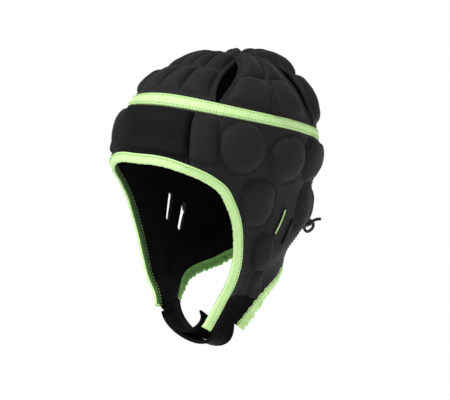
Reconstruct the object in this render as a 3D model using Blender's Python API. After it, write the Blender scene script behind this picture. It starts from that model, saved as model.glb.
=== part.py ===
"""Padded rugby scrum cap, upright as it is worn.

Metres, +Z up. The face looks along -Y and the wearer's left is +X. The origin is the point
inside the top of the crown where the cap sits on a head. A place on the cap is a turn, in
degrees from the middle of the brow round to the wearer's left, and a level: a share of
CHEEK_DEPTH below the widest section when negative, an angle up the dome when positive.
"""

import math

import bmesh
import bpy
import numpy as np
from mathutils import Matrix

# Driving dimensions
HEAD_LENGTH = 0.216  # over the pads, front to back, at the widest section
HEAD_WIDTH = 0.176  # over the pads, side to side, at the widest section
CROWN_HEIGHT = 0.0905  # from the widest section up to the top
CROWN_POWER = 2.3  # 2 would be a plain ellipse
CROWN_SHIFT = 0.018  # the top lies this far behind the middle
CHEEK_DEPTH = 0.160  # from the widest section down to the chin strap's seam
BAND_LEVEL = 0.0345  # mean height of the band's upper border above the widest section
BAND_SLOPE = 0.028  # its rise at the brow and its fall at the back
BAND_WIDTH = 0.0095
BAND_THICKNESS = 0.0042
CLOTH = 0.003  # the wall between pads, cover and backing together
INSET = 0.0055  # the middle of that wall lies this far inside the pads' outline
PAD_RISE = 0.006  # a pad over the wall round it
BROW_RISE = 0.005
BROW_FLARE = 0.005  # the lower edge of the brow panel turns outward
BINDING_WIDTH = 0.010
BINDING_THICKNESS = 0.0042
EDGE_REACH = 0.022  # the wall eases out to its bound edges over this length
PULL_REACH = 0.045  # and is drawn in to the neck over this one
HEM_WIDTH = 0.006
PAD_SLOPE = 0.005  # over this length a pad falls to the wall beside an edge, hem or band
EDGE_MARGIN = 0.001  # bare wall between a pad and a border
FRONT_VENT_WIDTH = 0.013
REAR_VENT_WIDTH = 0.021
REAR_VENT_SLOPE = 0.024  # the side pads fall to the rear vents over this length
TIP_REACH = 0.017  # the crown's pads flatten where a panel is narrower than twice this
SLIT_LENGTH = 0.028
SLIT_WIDTH = 0.0055
BACK_SLOT_LENGTH = 0.060
BACK_SLOT_WIDTH = 0.008
STRAP_THICKNESS = 0.0025
STRAP_SAG = 0.0225  # of the sleeve's front edge below the seam, its rear edge hangs lower
STRAP_REAR_SAG = 0.0325
TONGUE_SPACE = 0.0045  # between the sleeve and the tongue under the chin
TONGUE_INSET = 0.011  # of the tongue's end inside the wearer's left jaw
TONGUE_RISE = 0.021
LACE_DIAMETER = 0.003
LACE_CLEARANCE = 0.0022  # over the pads, which the lace crosses loosely
KNOT_DIAMETER = 0.0075
BINDING_GAP = 0.0006  # between a binding and the cloth that it edges
GAP = 0.0003  # between neighbours

BROW_TURN = 30.0  # seam of the brow and side panels
REAR_TURN = 128.0  # seam of the side and back panels
VENT_TURNS = (43.0, 115.5)  # the crown's four seams, on both sides
VENT_LEAN = 14.0  # the front pair of them leans this far back on the way to the top
VENT_TOP = 0.76  # share of the way to the top at which a vent closes
TIP_LEVEL = math.pi / 2 - 0.0025  # a panel's tip stops just short of the top
CROWN_HEM = 0.07  # share of a crown panel's width that is flat along each seam
CROWN_ROWS = (0.05, 0.92)  # its pads begin and end at these shares of the way up
CROWN_SPLIT = 0.5  # share of those rows at which the lower pads end, in front and behind
SIDE_CROWN_SPLIT = 0.41  # and at the sides
SEAM_EASE = 1.2  # a seam's gap is kept where the panels are narrower than the mean radius

MEAN_RADIUS = (HEAD_LENGTH + HEAD_WIDTH) / 4
SEAT_LEVEL = CROWN_HEIGHT - INSET - CLOTH / 2

# Sections below the widest: drop as a share of CHEEK_DEPTH, half sizes as shares of the widest
SECTIONS = {
    "drop": (0.00, 0.09, 0.18, 0.275, 0.38, 0.48, 0.66, 0.76, 0.85, 1.00, 1.15),
    "width": (1.015, 1.00, 0.96, 0.91, 0.87, 0.83, 0.76, 0.71, 0.65, 0.625, 0.61),
    "front": (1.10, 1.06, 0.98, 0.91, 0.87, 0.83, 0.76, 0.71, 0.65, 0.625, 0.61),
    "back": (0.965, 0.96, 0.945, 0.93, 0.915, 0.88, 0.78, 0.71, 0.64, 0.62, 0.61),
}
# Middle line of the face binding, from the brow to the chin strap: turn and share of depth
FACE_EDGE = {
    "turn": (0.0, 12.0, 25.0, 37.0, 45.0, 50.0, 54.0, 55.5, 54.5, 50.8, 43.9, 30.0),
    "drop": (-0.015, -0.012, 0.018, 0.075, 0.148, 0.26, 0.38, 0.50, 0.66, 0.756, 0.854, 1.02),
}
# Lower edge, from the chin strap to the nape: how far it is drawn in as a share of the radius
LOWER_EDGE = {
    "turn": (30.0, 48.0, 65.0, 75.0, 85.0, 94.0, 116.0, 128.0, 140.0, 160.0, 180.0),
    "drop": (1.02, 1.03, 1.04, 0.965, 0.89, 0.83, 0.765, 0.745, 0.71, 0.675, 0.665),
    "draw": (0.00, 0.10, 0.20, 0.165, 0.13, 0.13, 0.19, 0.21, 0.21, 0.20, 0.19),
}
STRAP_REAR_TURN = 65.0
# Shares of the face and the neck edge at which a side ends; the left one carries the sleeve
FACE_ENDS = {1.0: 1.0, -1.0: 0.92}
NECK_ENDS = {1.0: 1.0, -1.0: 0.87}
STRAP_FULLNESS = 0.8  # 1 would let the strap hang in a plain half ellipse
TONGUE_STATIONS = (-0.6, -0.3, 0.75)  # the tongue is clear of the sleeve, starts to rise, is up
# Pads below the band: centre, half sizes as shares of PAD_SIZE, rise, and how square they are
PAD_SIZE = 0.042
SIDE_PADS = (
    {"turn": 37.0, "drop": -0.135, "width": 0.31, "height": 0.48, "rise": 1.0, "power": 6.0},
    {"turn": 59.0, "drop": -0.07, "width": 0.49, "height": 0.53, "rise": 1.0, "power": 2.5},
    {"turn": 87.5, "drop": 0.025, "width": 0.50, "height": 0.49, "rise": 1.0, "power": 2.5},
    {"turn": 114.0, "drop": 0.06, "width": 0.48, "height": 0.48, "rise": 1.0, "power": 2.5},
    {"turn": 68.0, "drop": 0.275, "width": 0.46, "height": 0.51, "rise": 1.0, "power": 2.5},
    {"turn": 77.0, "drop": 0.585, "width": 0.33, "height": 0.41, "rise": 0.9, "power": 2.6},
    {"turn": 78.0, "drop": 0.79, "width": 0.26, "height": 0.30, "rise": 0.5, "power": 3.0},
    {"turn": 114.0, "drop": 0.36, "width": 0.36, "height": 0.52, "rise": 0.9, "power": 3.0},
)
BACK_PADS = (
    {"turn": 143.0, "drop": 0.08, "width": 0.46, "height": 0.46, "rise": 1.0, "power": 2.5},
    {"turn": 168.0, "drop": 0.04, "width": 0.42, "height": 0.38, "rise": 1.0, "power": 2.5},
    {"turn": 149.0, "drop": 0.40, "width": 0.50, "height": 0.50, "rise": 1.0, "power": 2.5},
)
# Grooves between the side panel's upper pads, and rows down its two seams as shares of them
SIDE_GROOVES = (BROW_TURN, 45.5, 72.5, 100.0, REAR_TURN)
PAD_CELLS = (0.0, 0.16, 0.38, 0.62, 0.84)
BROW_SEAM_STEPS = (0.0, 0.05, 0.17, 0.42, 0.66, 0.84)
REAR_SEAM_STEPS = (0.0, 0.023, 0.078, 0.195, 0.30, 0.39, 0.46, 0.54, 0.62, 0.70, 0.78, 0.855, 0.93)
EVEN_ROWS = (0.25, 0.55)  # between these shares of the way down its columns become even
STRAP_ROWS = 0.8  # and from here its rows bend to the chin strap's seam
# Ear slits: turn and share of depth of the upper and the lower end
EAR_SLITS = (
    {"top_turn": 91.4, "top_drop": 0.33, "low_turn": 85.2, "low_drop": 0.48},
    {"top_turn": 101.0, "top_drop": 0.40, "low_turn": 94.5, "low_drop": 0.55},
)
SLIT_SHIFTS = {1.0: 0.0, -1.0: 4.0}  # each side's slits lie this many degrees further back
BACK_SLOT_DROP = 0.36
# The lace crosses the slot between these places: offset across and drop along it, in shares
LACE_CROSSINGS = ((-1.0, -0.38), (1.0, -0.20), (-1.0, -0.02), (1.0, 0.16), (-1.0, 0.34))
LACE_SPREAD = 0.010  # of the crossings to each side of the slot's middle
LACE_LOW_SHARE = 0.6  # of the way from the slot to the knot at which it is level with the knot
KNOT_TURN = 152.0
KNOT_DROP = 0.468
# Free end of the lace from the knot's middle, in knot diameters: rightward, backward and up
LACE_END = (
    (-0.27, 0.27, -0.40),
    (-0.45, 0.50, -0.90),
    (-0.12, 0.62, -1.32),
    (0.48, 0.64, -1.02),
    (0.74, 0.64, -0.45),
    (0.64, 0.64, 0.02),
    (1.05, 0.52, 0.26),
    (1.70, 0.35, 0.38),
)
LACE_END_HEADING = 39.0  # degrees round from +X of its rightward way


def smooth_curve(knots, values, at, level_start=False):
    """A smooth curve through short lists, held flat past both ends."""
    knots = np.asarray(knots, float)
    values = np.asarray(values, float)
    slopes = np.gradient(values, knots)
    if level_start:
        slopes[0] = 0.0
    at = np.clip(at, knots[0], knots[-1])
    cell = np.clip(np.searchsorted(knots, at, side="right") - 1, 0, len(knots) - 2)
    width = knots[cell + 1] - knots[cell]
    t = (at - knots[cell]) / width
    start = values[cell] * (1 + 2 * t) * (1 - t) ** 2 + slopes[cell] * width * t * (1 - t) ** 2
    end = values[cell + 1] * t * t * (3 - 2 * t) + slopes[cell + 1] * width * t * t * (t - 1)
    return start + end


def smooth_step(t):
    t = np.clip(t, 0.0, 1.0)
    return t * t * (3 - 2 * t)


def unit(vector):
    return vector / np.linalg.norm(vector, axis=-1, keepdims=True)


def level_of(height):
    """Level of a height over the widest section."""
    share = np.clip(np.asarray(height, float) / CROWN_HEIGHT, 0.0, 1.0)
    return np.where(height > 0, np.arcsin(share ** (CROWN_POWER / 2)), height / CHEEK_DEPTH)


def height_of(level):
    dome = np.sin(np.clip(level, 0.0, math.pi / 2)) ** (2 / CROWN_POWER)
    return np.where(np.asarray(level) > 0, CROWN_HEIGHT * dome, level * CHEEK_DEPTH)


def half_sizes(level):
    """Half width, half length to the front and to the back, and the middle's shift."""
    rise = np.clip(level, 0.0, math.pi / 2)
    drop = np.clip(-np.asarray(level, float), 0.0, None)
    dome = np.cos(rise) ** (2 / CROWN_POWER)
    sizes = []
    for side, whole in (("width", HEAD_WIDTH), ("front", HEAD_LENGTH), ("back", HEAD_LENGTH)):
        share = smooth_curve(SECTIONS["drop"], SECTIONS[side], drop, level_start=True)
        share = np.where(rise > 0, 1 + (share - 1) * np.cos(rise), share)
        sizes.append(whole / 2 * dome * share)
    shift = CROWN_SHIFT * (np.clip(height_of(level), 0.0, None) / CROWN_HEIGHT) ** 4
    return sizes[0], sizes[1], sizes[2], shift


def round_turn(turn):
    """A turn's angle from the brow, whichever side it is on."""
    return np.abs((np.asarray(turn, float) + 180.0) % 360.0 - 180.0)


def outline(turn, level):
    """Point of the pads' outline, its height counted from the widest section."""
    turn, level = np.broadcast_arrays(np.asarray(turn, float), np.asarray(level, float))
    width, front, back, shift = half_sizes(level)
    angle = np.radians(turn)
    length = np.where(np.cos(angle) > 0, front, back)
    side = round_turn(turn)
    edge_drop = smooth_curve(LOWER_EDGE["turn"], LOWER_EDGE["drop"], side)
    draw = smooth_curve(LOWER_EDGE["turn"], LOWER_EDGE["draw"], side)
    above = (edge_drop + np.minimum(level, 0.0)) * CHEEK_DEPTH
    kept = 1 - draw * smooth_step(1 - above / PULL_REACH)
    x = width * np.sin(angle) * kept
    y = (shift - length * np.cos(angle)) * kept
    return np.stack([x, y, height_of(level)], axis=-1)


def outward(turn, level):
    """Unit normal of the outline."""
    across = outline(np.add(turn, 0.05), level) - outline(np.subtract(turn, 0.05), level)
    up = outline(turn, np.add(level, 1e-4)) - outline(turn, np.subtract(level, 1e-4))
    return unit(np.cross(unit(across), unit(up)))


def turn_at(point, level):
    """Turn of a point at a known level."""
    width, front, back, shift = half_sizes(level)
    ahead = shift - point[..., 1]
    length = np.where(ahead > 0, front, back)
    return np.degrees(np.arctan2(point[..., 0] / width, ahead / length))


def unrolled(turn, height):
    return np.stack([np.radians(turn) * MEAN_RADIUS, height], axis=-1)


def edge_line(turns, drops):
    """Function of a share of an edge's length that gives its turn and height."""
    heights = -np.asarray(drops) * CHEEK_DEPTH
    steps = np.linalg.norm(np.diff(unrolled(turns, heights), axis=0), axis=1)
    run = np.concatenate([[0.0], np.cumsum(steps)]) / np.sum(steps)

    def at(share):
        return smooth_curve(run, turns, share), smooth_curve(run, heights, share)

    return at


def lower_part(first, last):
    """The stretch of the lower edge between two turns of its table, from the nape forward."""
    keep = [i for i, turn in enumerate(LOWER_EDGE["turn"]) if first <= turn <= last]
    rows = keep[::-1]
    return [LOWER_EDGE["turn"][i] for i in rows], [LOWER_EDGE["drop"][i] for i in rows]


face_line = edge_line(FACE_EDGE["turn"], FACE_EDGE["drop"])
neck_line = edge_line(*lower_part(STRAP_REAR_TURN, 180.0))
EDGE_SAMPLES = np.linspace(0.0, 1.0, 80)


def distance_to(line, turn, height):
    """Rough distance over the wall from places to an edge."""
    edge = unrolled(*line(EDGE_SAMPLES))
    place = unrolled(round_turn(turn), height)
    return np.min(np.linalg.norm(place[..., None, :] - edge, axis=-1), axis=-1)


def wall_middle(turn, level):
    """Offset of the cloth's middle from the outline: inside it, but out at the bound edges."""
    turn, level = np.broadcast_arrays(np.asarray(turn, float), np.asarray(level, float))
    height = height_of(level)
    face = smooth_step(1 - distance_to(face_line, turn, height) / EDGE_REACH)
    neck = smooth_step(1 - distance_to(neck_line, turn, height) / EDGE_REACH)
    flare = BROW_FLARE * face * np.clip(np.cos(np.radians(turn)), 0.0, None) ** 2
    return flare - INSET * (1 - np.maximum(face, neck))


def share_at_turn(line, turn):
    """Share of an edge's length at which it first passes a turn."""
    samples = np.linspace(0.0, 0.6, 200)
    passed = np.abs(line(samples)[0] - turn)
    return float(samples[int(np.argmin(passed))])


def station(line, share, side):
    """Frame of a place on an edge: turn, level, point, outward normal and way into the cloth."""
    step = 1e-3
    turn, height = line(share)
    before = line(np.maximum(share - step, 0.0))
    after = line(np.minimum(share + step, 1.0))
    level = level_of(height)
    point = outline(turn * side, level)
    normal = outward(turn * side, level)
    ahead = outline(after[0] * side, level_of(after[1]))
    behind = outline(before[0] * side, level_of(before[1]))
    along = unit(ahead - behind)
    inward = unit(np.cross(along, normal)) * side
    return turn * side, level, point, normal, inward


def inset_place(line, share, side):
    """Turn and level of the cloth's own edge, under the binding's inner border."""
    _, _, point, _, inward = station(line, share, side)
    way = -1.0 if line is face_line else 1.0
    moved = point + way * inward * (BINDING_WIDTH / 2 + BINDING_GAP)
    level = level_of(moved[..., 2])
    return turn_at(moved, level), level


def inset_height(line, turn):
    """Height of the cloth's own edge where it passes a turn."""
    edge_turn, edge_level = inset_place(line, np.linspace(0.0, 0.6, 200), 1.0)
    order = np.argsort(edge_turn)
    return float(np.interp(turn, edge_turn[order], height_of(edge_level)[order]))


def band_height(turn):
    """Height of the band's upper border."""
    return BAND_LEVEL + BAND_SLOPE * np.cos(np.radians(turn))


# Station shares shared by the bindings and the panels that they edge
BROW_SHARE = share_at_turn(face_line, BROW_TURN)
REAR_SHARE = share_at_turn(neck_line, REAR_TURN)
SIDE_ROWS = 22
BROW_SEAM_ROWS = len(BROW_SEAM_STEPS)
REAR_SEAM_ROWS = len(REAR_SEAM_STEPS)
BROW_COLUMNS = 6
BACK_COLUMNS = 8
BROW_SHARES = np.linspace(0.0, BROW_SHARE, BROW_COLUMNS + 1)
NAPE_SHARES = np.linspace(0.0, REAR_SHARE, BACK_COLUMNS + 1)


def cheek_shares(side):
    return np.linspace(BROW_SHARE, FACE_ENDS[side], SIDE_ROWS - BROW_SEAM_ROWS + 1)


def jaw_shares(side):
    return np.linspace(REAR_SHARE, NECK_ENDS[side], SIDE_ROWS - REAR_SEAM_ROWS + 1)


def material(name, colour, roughness):
    """Principled material of one plain colour."""
    made = bpy.data.materials.new(name)
    made.use_nodes = True
    shader = made.node_tree.nodes["Principled BSDF"]
    shader.inputs["Base Color"].default_value = (*colour, 1.0)
    shader.inputs["Roughness"].default_value = roughness
    shader.inputs["Metallic"].default_value = 0.0
    return made


def face_out(mesh):
    """Turns every face of a closed mesh outward."""
    work = bmesh.new()
    work.from_mesh(mesh)
    bmesh.ops.recalc_face_normals(work, faces=work.faces)
    work.to_mesh(mesh)
    work.free()


def add_object(name, vertices, faces, finish):
    """A closed mesh object in the cap's own frame, with its origin where the head sits."""
    vertices = np.asarray(vertices, float) - np.array([0.0, 0.0, SEAT_LEVEL])
    mesh = bpy.data.meshes.new(name)
    mesh.from_pydata([tuple(v) for v in vertices], [], faces)
    mesh.materials.append(finish)
    face_out(mesh)
    mesh.shade_smooth()
    mesh.set_sharp_from_angle(angle=math.radians(50))
    thing = bpy.data.objects.new(name, mesh)
    bpy.context.scene.collection.objects.link(thing)
    return thing


def slab(name, outer, inner, finish, closed=False, tip=False):
    """Solid between two grids of points; closed joins its first and last columns."""
    rows, columns = outer.shape[:2]
    if tip:
        rows -= 1
    count = rows * columns
    vertices = [*outer[:rows].reshape(-1, 3), *inner[:rows].reshape(-1, 3)]
    faces = []
    last = columns if closed else columns - 1
    for r in range(rows - 1):
        for c in range(last):
            d = (c + 1) % columns
            a, b, e, f = r * columns + c, r * columns + d, (r + 1) * columns + d, (r + 1) * columns + c
            faces.append((a, b, e, f))
            faces.append((f + count, e + count, b + count, a + count))
    for c in range(last):
        d = (c + 1) % columns
        faces.append((c, c + count, d + count, d))
        top = (rows - 1) * columns
        if tip:
            faces.append((top + c, top + d, 2 * count))
            faces.append((top + d + count, top + c + count, 2 * count + 1))
        else:
            faces.append((top + d, top + d + count, top + c + count, top + c))
    if not closed:
        for r in range(rows - 1):
            a, b = r * columns, (r + 1) * columns
            faces.append((a, b, b + count, a + count))
            a, b = a + columns - 1, b + columns - 1
            faces.append((b, a, a + count, b + count))
    if tip:
        vertices += [outer[-1].mean(axis=0), inner[-1].mean(axis=0)]
        start = (rows - 1) * columns
        end = start + columns - 1
        faces.append((start, 2 * count, 2 * count + 1, start + count))
        faces.append((2 * count, end, end + count, 2 * count + 1))
    return add_object(name, vertices, faces, finish)


def wall(name, turn, level, rise, finish, tip=False):
    """Cloth wall over a grid of places, with its pads raised outward."""
    point = outline(turn, level)
    normal = outward(turn, level)
    middle = wall_middle(turn, level)
    outer = point + normal * (middle + CLOTH / 2 + rise)[..., None]
    inner = point + normal * (middle - CLOTH / 2)[..., None]
    return slab(name, outer, inner, finish, tip=tip)


def sweep(name, frames, width, thickness, finish):
    """Flat tape with eased borders along station frames."""
    ease = thickness / 4
    section = (
        (-width / 2, 0.0),
        (-width / 2 + ease, thickness / 2),
        (width / 2 - ease, thickness / 2),
        (width / 2, 0.0),
        (width / 2 - ease, -thickness / 2),
        (-width / 2 + ease, -thickness / 2),
    )
    rings = [[point + side * a + normal * b for a, b in section] for point, normal, side in frames]
    sides = len(section)
    vertices = [corner for ring in rings for corner in ring]
    faces = []
    for r in range(len(rings) - 1):
        for c in range(sides):
            d = (c + 1) % sides
            faces.append((r * sides + c, r * sides + d, (r + 1) * sides + d, (r + 1) * sides + c))
    faces.append(tuple(range(sides))[::-1])
    faces.append(tuple(range((len(rings) - 1) * sides, len(rings) * sides)))
    return add_object(name, vertices, faces, finish)


def quilt(share, pads):
    """Height share of a row of pads across 0 to 1, nought in the grooves and outside."""
    local = np.clip(share, 0.0, 1.0) * pads
    local = local - np.floor(np.clip(local, 0.0, pads - 1e-9))
    return 1 - np.abs(2 * local - 1) ** 5


def quilt_nodes(pads):
    """Places across a row of pads: each groove, shoulder and middle."""
    inner = [(pad + part) / pads for pad in range(pads) for part in (0.0, 0.16, 0.5, 0.84)]
    return [*inner, 1.0]


def vent_turn(turn, climb):
    """Turn of a crown seam on its way up."""
    lean = VENT_LEAN if abs(turn) < 90 else 0.0
    return turn + math.copysign(lean, turn) * climb**1.5


def vent_half_width(turn, climb):
    """Half width of the vent in a crown seam, shut at the band and at its top."""
    width = FRONT_VENT_WIDTH if abs(turn) < 90 or abs(turn) > 270 else REAR_VENT_WIDTH
    along = np.clip(climb / VENT_TOP, 0.0, 1.0)
    return GAP / 2 + width / 2 * np.clip(np.sin(np.pi * along), 0.0, 1.0) ** 0.8


def split_rows(share, split):
    """Rows of two pads whose groove lies at a split, as if it lay in the middle."""
    return np.interp(share, (0.0, split, 1.0), (0.0, 0.5, 1.0))


def crown_level(turn, climb):
    base = level_of(band_height(turn) + GAP)
    return base + (TIP_LEVEL - base) * climb


def rear_slope(first, last, share, width):
    """Share of their height that the side pads keep on their way down to the rear vents."""
    if not 90 < abs(first + last) < 270:
        return 1.0
    from_rear = (1 - share if first + last > 0 else share) * width
    return smooth_step(from_rear / REAR_VENT_SLOPE)


def crown_panel(name, first, last, pads, split, finish):
    """Panel of the crown between two vents, from the band to a tip at the top."""
    low, high = CROWN_ROWS
    across = [CROWN_HEM + (1 - 2 * CROWN_HEM) * share for share in quilt_nodes(pads)]
    climbs = np.interp(quilt_nodes(2), (0.0, 0.5, 1.0), (0.0, split, 1.0))
    rows = low + (high - low) * climbs
    share, climb = np.meshgrid([0.0, *across, 1.0], [0.0, *rows, (1 + high) / 2, 1.0])
    start, end = vent_turn(first, climb), vent_turn(last, climb)
    middle = (start + end) / 2
    turn = start + (end - start) * share
    level = crown_level(turn, climb)
    degree = np.linalg.norm(outline(turn + 0.5, level) - outline(turn - 0.5, level), axis=-1)
    reach = degree * (end - start) / 2
    lens = np.where(share < 0.5, vent_half_width(first, climb), vent_half_width(last, climb))
    kept = 1 - np.minimum(lens / reach, 0.9)
    turn = middle + (turn - middle) * kept
    level = crown_level(turn, climb)
    pad_share = (share - CROWN_HEM) / (1 - 2 * CROWN_HEM)
    row_share = split_rows((climb - low) / (high - low), split)
    rise = PAD_RISE * quilt(pad_share, pads) * quilt(row_share, 2)
    rise *= smooth_step(reach * kept / TIP_REACH) * rear_slope(first, last, share, 2 * reach * kept)
    return wall(name, turn, level, rise, finish, tip=True)


def pad_rise(turn, level, pads):
    """Height of the nearest pad over the wall."""
    rise = np.zeros(np.shape(turn))
    height = height_of(level)
    for pad in pads:
        for turn_sign in (1.0, -1.0):
            away = (np.asarray(turn) - turn_sign * pad["turn"] + 180.0) % 360.0 - 180.0
            across = np.radians(away) * MEAN_RADIUS / (pad["width"] * PAD_SIZE)
            up = (height + pad["drop"] * CHEEK_DEPTH) / (pad["height"] * PAD_SIZE)
            power = pad["power"]
            reach = (np.abs(across) ** power + np.abs(up) ** power) ** (1 / power)
            crown = 1 - smooth_step((reach - 0.72) / 0.33)
            rise = np.maximum(rise, pad["rise"] * PAD_RISE * crown)
    return rise


def pad_columns():
    """Shares across a side panel that follow the grooves of its upper pads."""
    nodes = []
    for start, end in zip(SIDE_GROOVES, SIDE_GROOVES[1:]):
        nodes += [start + (end - start) * cell for cell in PAD_CELLS]
    nodes.append(SIDE_GROOVES[-1])
    return (np.array(nodes) - nodes[0]) / (nodes[-1] - nodes[0])


def side_panel(name, side, finish):
    """Panel from the brow seam round the ear to the rear seam, and down to the chin strap."""
    seam_half = np.degrees(GAP / 2 / MEAN_RADIUS) * SEAM_EASE
    front_turn, front_level = inset_place(face_line, cheek_shares(side), 1.0)
    rear_turn, rear_level = inset_place(neck_line, jaw_shares(side), 1.0)
    front_turn[0] = BROW_TURN + seam_half
    front_level[0] = level_of(inset_height(face_line, front_turn[0]))
    rear_turn[0] = REAR_TURN - seam_half
    rear_level[0] = level_of(inset_height(neck_line, rear_turn[0]))
    band_gap = BAND_WIDTH + GAP
    front_top = band_height(BROW_TURN) - band_gap
    rear_top = band_height(REAR_TURN) - band_gap
    front_seam = front_top + (height_of(front_level[0]) - front_top) * np.array(BROW_SEAM_STEPS)
    rear_seam = rear_top + (height_of(rear_level[0]) - rear_top) * np.array(REAR_SEAM_STEPS)
    front = (
        np.concatenate([np.full(BROW_SEAM_ROWS, front_turn[0]), front_turn]),
        np.concatenate([front_seam, height_of(front_level)]),
    )
    rear = (
        np.concatenate([np.full(REAR_SEAM_ROWS, rear_turn[0]), rear_turn]),
        np.concatenate([rear_seam, height_of(rear_level)]),
    )
    down = np.linspace(0.0, 1.0, SIDE_ROWS + 1)[:, None]
    even = np.linspace(0.0, 1.0, len(SIDE_GROOVES[1:]) * len(PAD_CELLS) + 1)
    even_start, even_end = EVEN_ROWS
    share = pad_columns()
    share = share + (even - share) * smooth_step((down - even_start) / (even_end - even_start))
    turn = front[0][:, None] * (1 - share) + rear[0][:, None] * share
    height = front[1][:, None] * (1 - share) + rear[1][:, None] * share
    height = height + (band_height(turn[:1]) - band_gap - height[:1]) * (1 - down) ** 2
    strap_turn, strap_height = strap_seam(even, side)
    blend = np.clip((down - STRAP_ROWS) / (1 - STRAP_ROWS), 0.0, 1.0) ** 2
    turn = turn + (strap_turn - turn[-1:]) * blend
    height = height + (strap_height + GAP - height[-1:]) * blend
    level = level_of(height)
    rise = pad_rise(turn, level, SIDE_PADS) * edge_fade(turn, level)
    panel = wall(name, turn[:, :: int(side)] * side, level[:, :: int(side)], rise[:, :: int(side)], finish)
    for number, slit in enumerate(EAR_SLITS, start=1):
        ends = np.array([[slit["top_turn"], slit["top_drop"]], [slit["low_turn"], slit["low_drop"]]])
        ends[:, 0] += SLIT_SHIFTS[side]
        cut_slot(panel, f"{name}_cutter_{number}", ends, side, SLIT_LENGTH, SLIT_WIDTH)
    return panel


def edge_fade(turn, level):
    """Pads die away before the bound edges and the band."""
    height = height_of(level)
    nearest = np.minimum(distance_to(face_line, turn, height), distance_to(neck_line, turn, height))
    below_band = band_height(turn) - BAND_WIDTH - height
    fade = smooth_step((nearest - BINDING_WIDTH / 2 - EDGE_MARGIN) / PAD_SLOPE)
    return fade * smooth_step((below_band - EDGE_MARGIN) / PAD_SLOPE)


def strap_seam(share, side):
    """Line between a side panel and the chin strap, from the face to the neck."""
    face = inset_place(face_line, np.array([FACE_ENDS[side]]), 1.0)
    neck = inset_place(neck_line, np.array([NECK_ENDS[side]]), 1.0)
    turn = face[0] + (neck[0] - face[0]) * share
    height = height_of(face[1]) + (height_of(neck[1]) - height_of(face[1])) * share
    return turn, height


def slot_solid(name, length, width, depth):
    """Closed prism with round ends, along X, through Z."""
    ends = 4
    outline_points = []
    for way in (1.0, -1.0):
        for part in range(ends + 1):
            angle = math.pi * (part / ends - 0.5) + (0.0 if way > 0 else math.pi)
            x = way * (length - width) / 2 + width / 2 * math.cos(angle)
            outline_points.append((x, width / 2 * math.sin(angle)))
    count = len(outline_points)
    vertices = [(x, y, z) for z in (-depth / 2, depth / 2) for x, y in outline_points]
    faces = [tuple(range(count))[::-1], tuple(range(count, 2 * count))]
    for c in range(count):
        d = (c + 1) % count
        faces.append((c, d, d + count, c + count))
    mesh = bpy.data.meshes.new(name)
    mesh.from_pydata(vertices, [], faces)
    mesh.update()
    solid = bpy.data.objects.new(name, mesh)
    solid.hide_render = True
    solid.display_type = "WIRE"
    bpy.context.scene.collection.objects.link(solid)
    return solid


def cut_slot(panel, name, ends, side, length, width):
    """Cuts a slot through a panel between two places, each a turn and a share of depth."""
    places = [outline(turn * side, -drop) for turn, drop in ends]
    middle = (places[0] + places[1]) / 2
    normal = outward(ends[:, 0].mean() * side, -ends[:, 1].mean())
    along = unit(places[1] - places[0])
    across = unit(np.cross(normal, along))
    along = np.cross(across, normal)
    cutter = slot_solid(name, length, width, 0.04)
    place = middle - np.array([0.0, 0.0, SEAT_LEVEL])
    columns = (*zip(along, across, normal, place), (0.0, 0.0, 0.0, 1.0))
    cutter.matrix_world = Matrix(columns)
    cut = panel.modifiers.new(name, "BOOLEAN")
    cut.operation = "DIFFERENCE"
    cut.solver = "EXACT"
    cut.object = cutter
    return cut


def hanging_panel(name, line, shares, seam_turn, rows, rise_of, finish):
    """Panel between the band and an edge, whole across the middle of the front or the back."""
    seam_half = np.degrees(GAP / 2 / MEAN_RADIUS) * SEAM_EASE
    centre = 0.0 if line is face_line else 180.0
    low_turn, low_level = inset_place(line, shares, 1.0)
    low_turn[-1] = seam_turn - seam_half if centre == 0.0 else seam_turn + seam_half
    low_level[-1] = level_of(inset_height(line, low_turn[-1]))
    low_turn[0] = centre
    turns = np.concatenate([2 * centre - low_turn[:0:-1], low_turn])
    lows = np.concatenate([height_of(low_level)[:0:-1], height_of(low_level)])
    if centre > 0.0:
        turns, lows = turns[::-1], lows[::-1]
    down = np.linspace(0.0, 1.0, rows + 1)[:, None]
    top = band_height(turns) - BAND_WIDTH - GAP
    height = top * (1 - down) + lows * down
    turn = np.broadcast_to(turns, height.shape)
    level = level_of(height)
    return wall(name, turn, level, rise_of(turn, level), finish)


def brow_rise(turn, level):
    """Plain padding over the whole brow panel, thin at its borders."""
    from_seam = np.radians(BROW_TURN - round_turn(turn)) * MEAN_RADIUS
    return BROW_RISE * edge_fade(turn, level) * smooth_step(from_seam / PAD_SLOPE)


def back_rise(turn, level):
    """Pads of the back panel, with a flat hem round the laced slot."""
    across = np.radians(round_turn(np.asarray(turn) - 180.0)) * MEAN_RADIUS
    up = height_of(level) + BACK_SLOT_DROP * CHEEK_DEPTH
    beside = np.abs(up) < BACK_SLOT_LENGTH / 2 + HEM_WIDTH
    hem = smooth_step((across - BACK_SLOT_WIDTH / 2 - HEM_WIDTH) / PAD_SLOPE)
    return pad_rise(turn, level, BACK_PADS) * edge_fade(turn, level) * np.where(beside, hem, 1.0)


def crown_band(finish):
    """Tape round the head between the crown panels and the panels below."""
    turns = np.arange(72) * 5.0
    low = band_height(turns) - BAND_WIDTH
    height = np.stack([low, low + BAND_WIDTH])
    turn = np.broadcast_to(turns, height.shape)
    level = level_of(height)
    point = outline(turn, level)
    normal = outward(turn, level)
    outer = point + normal * (BAND_THICKNESS / 2 - INSET)
    inner = point - normal * (BAND_THICKNESS / 2 + INSET)
    return slab("crown_band", outer[::-1], inner[::-1], finish, closed=True)


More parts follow.
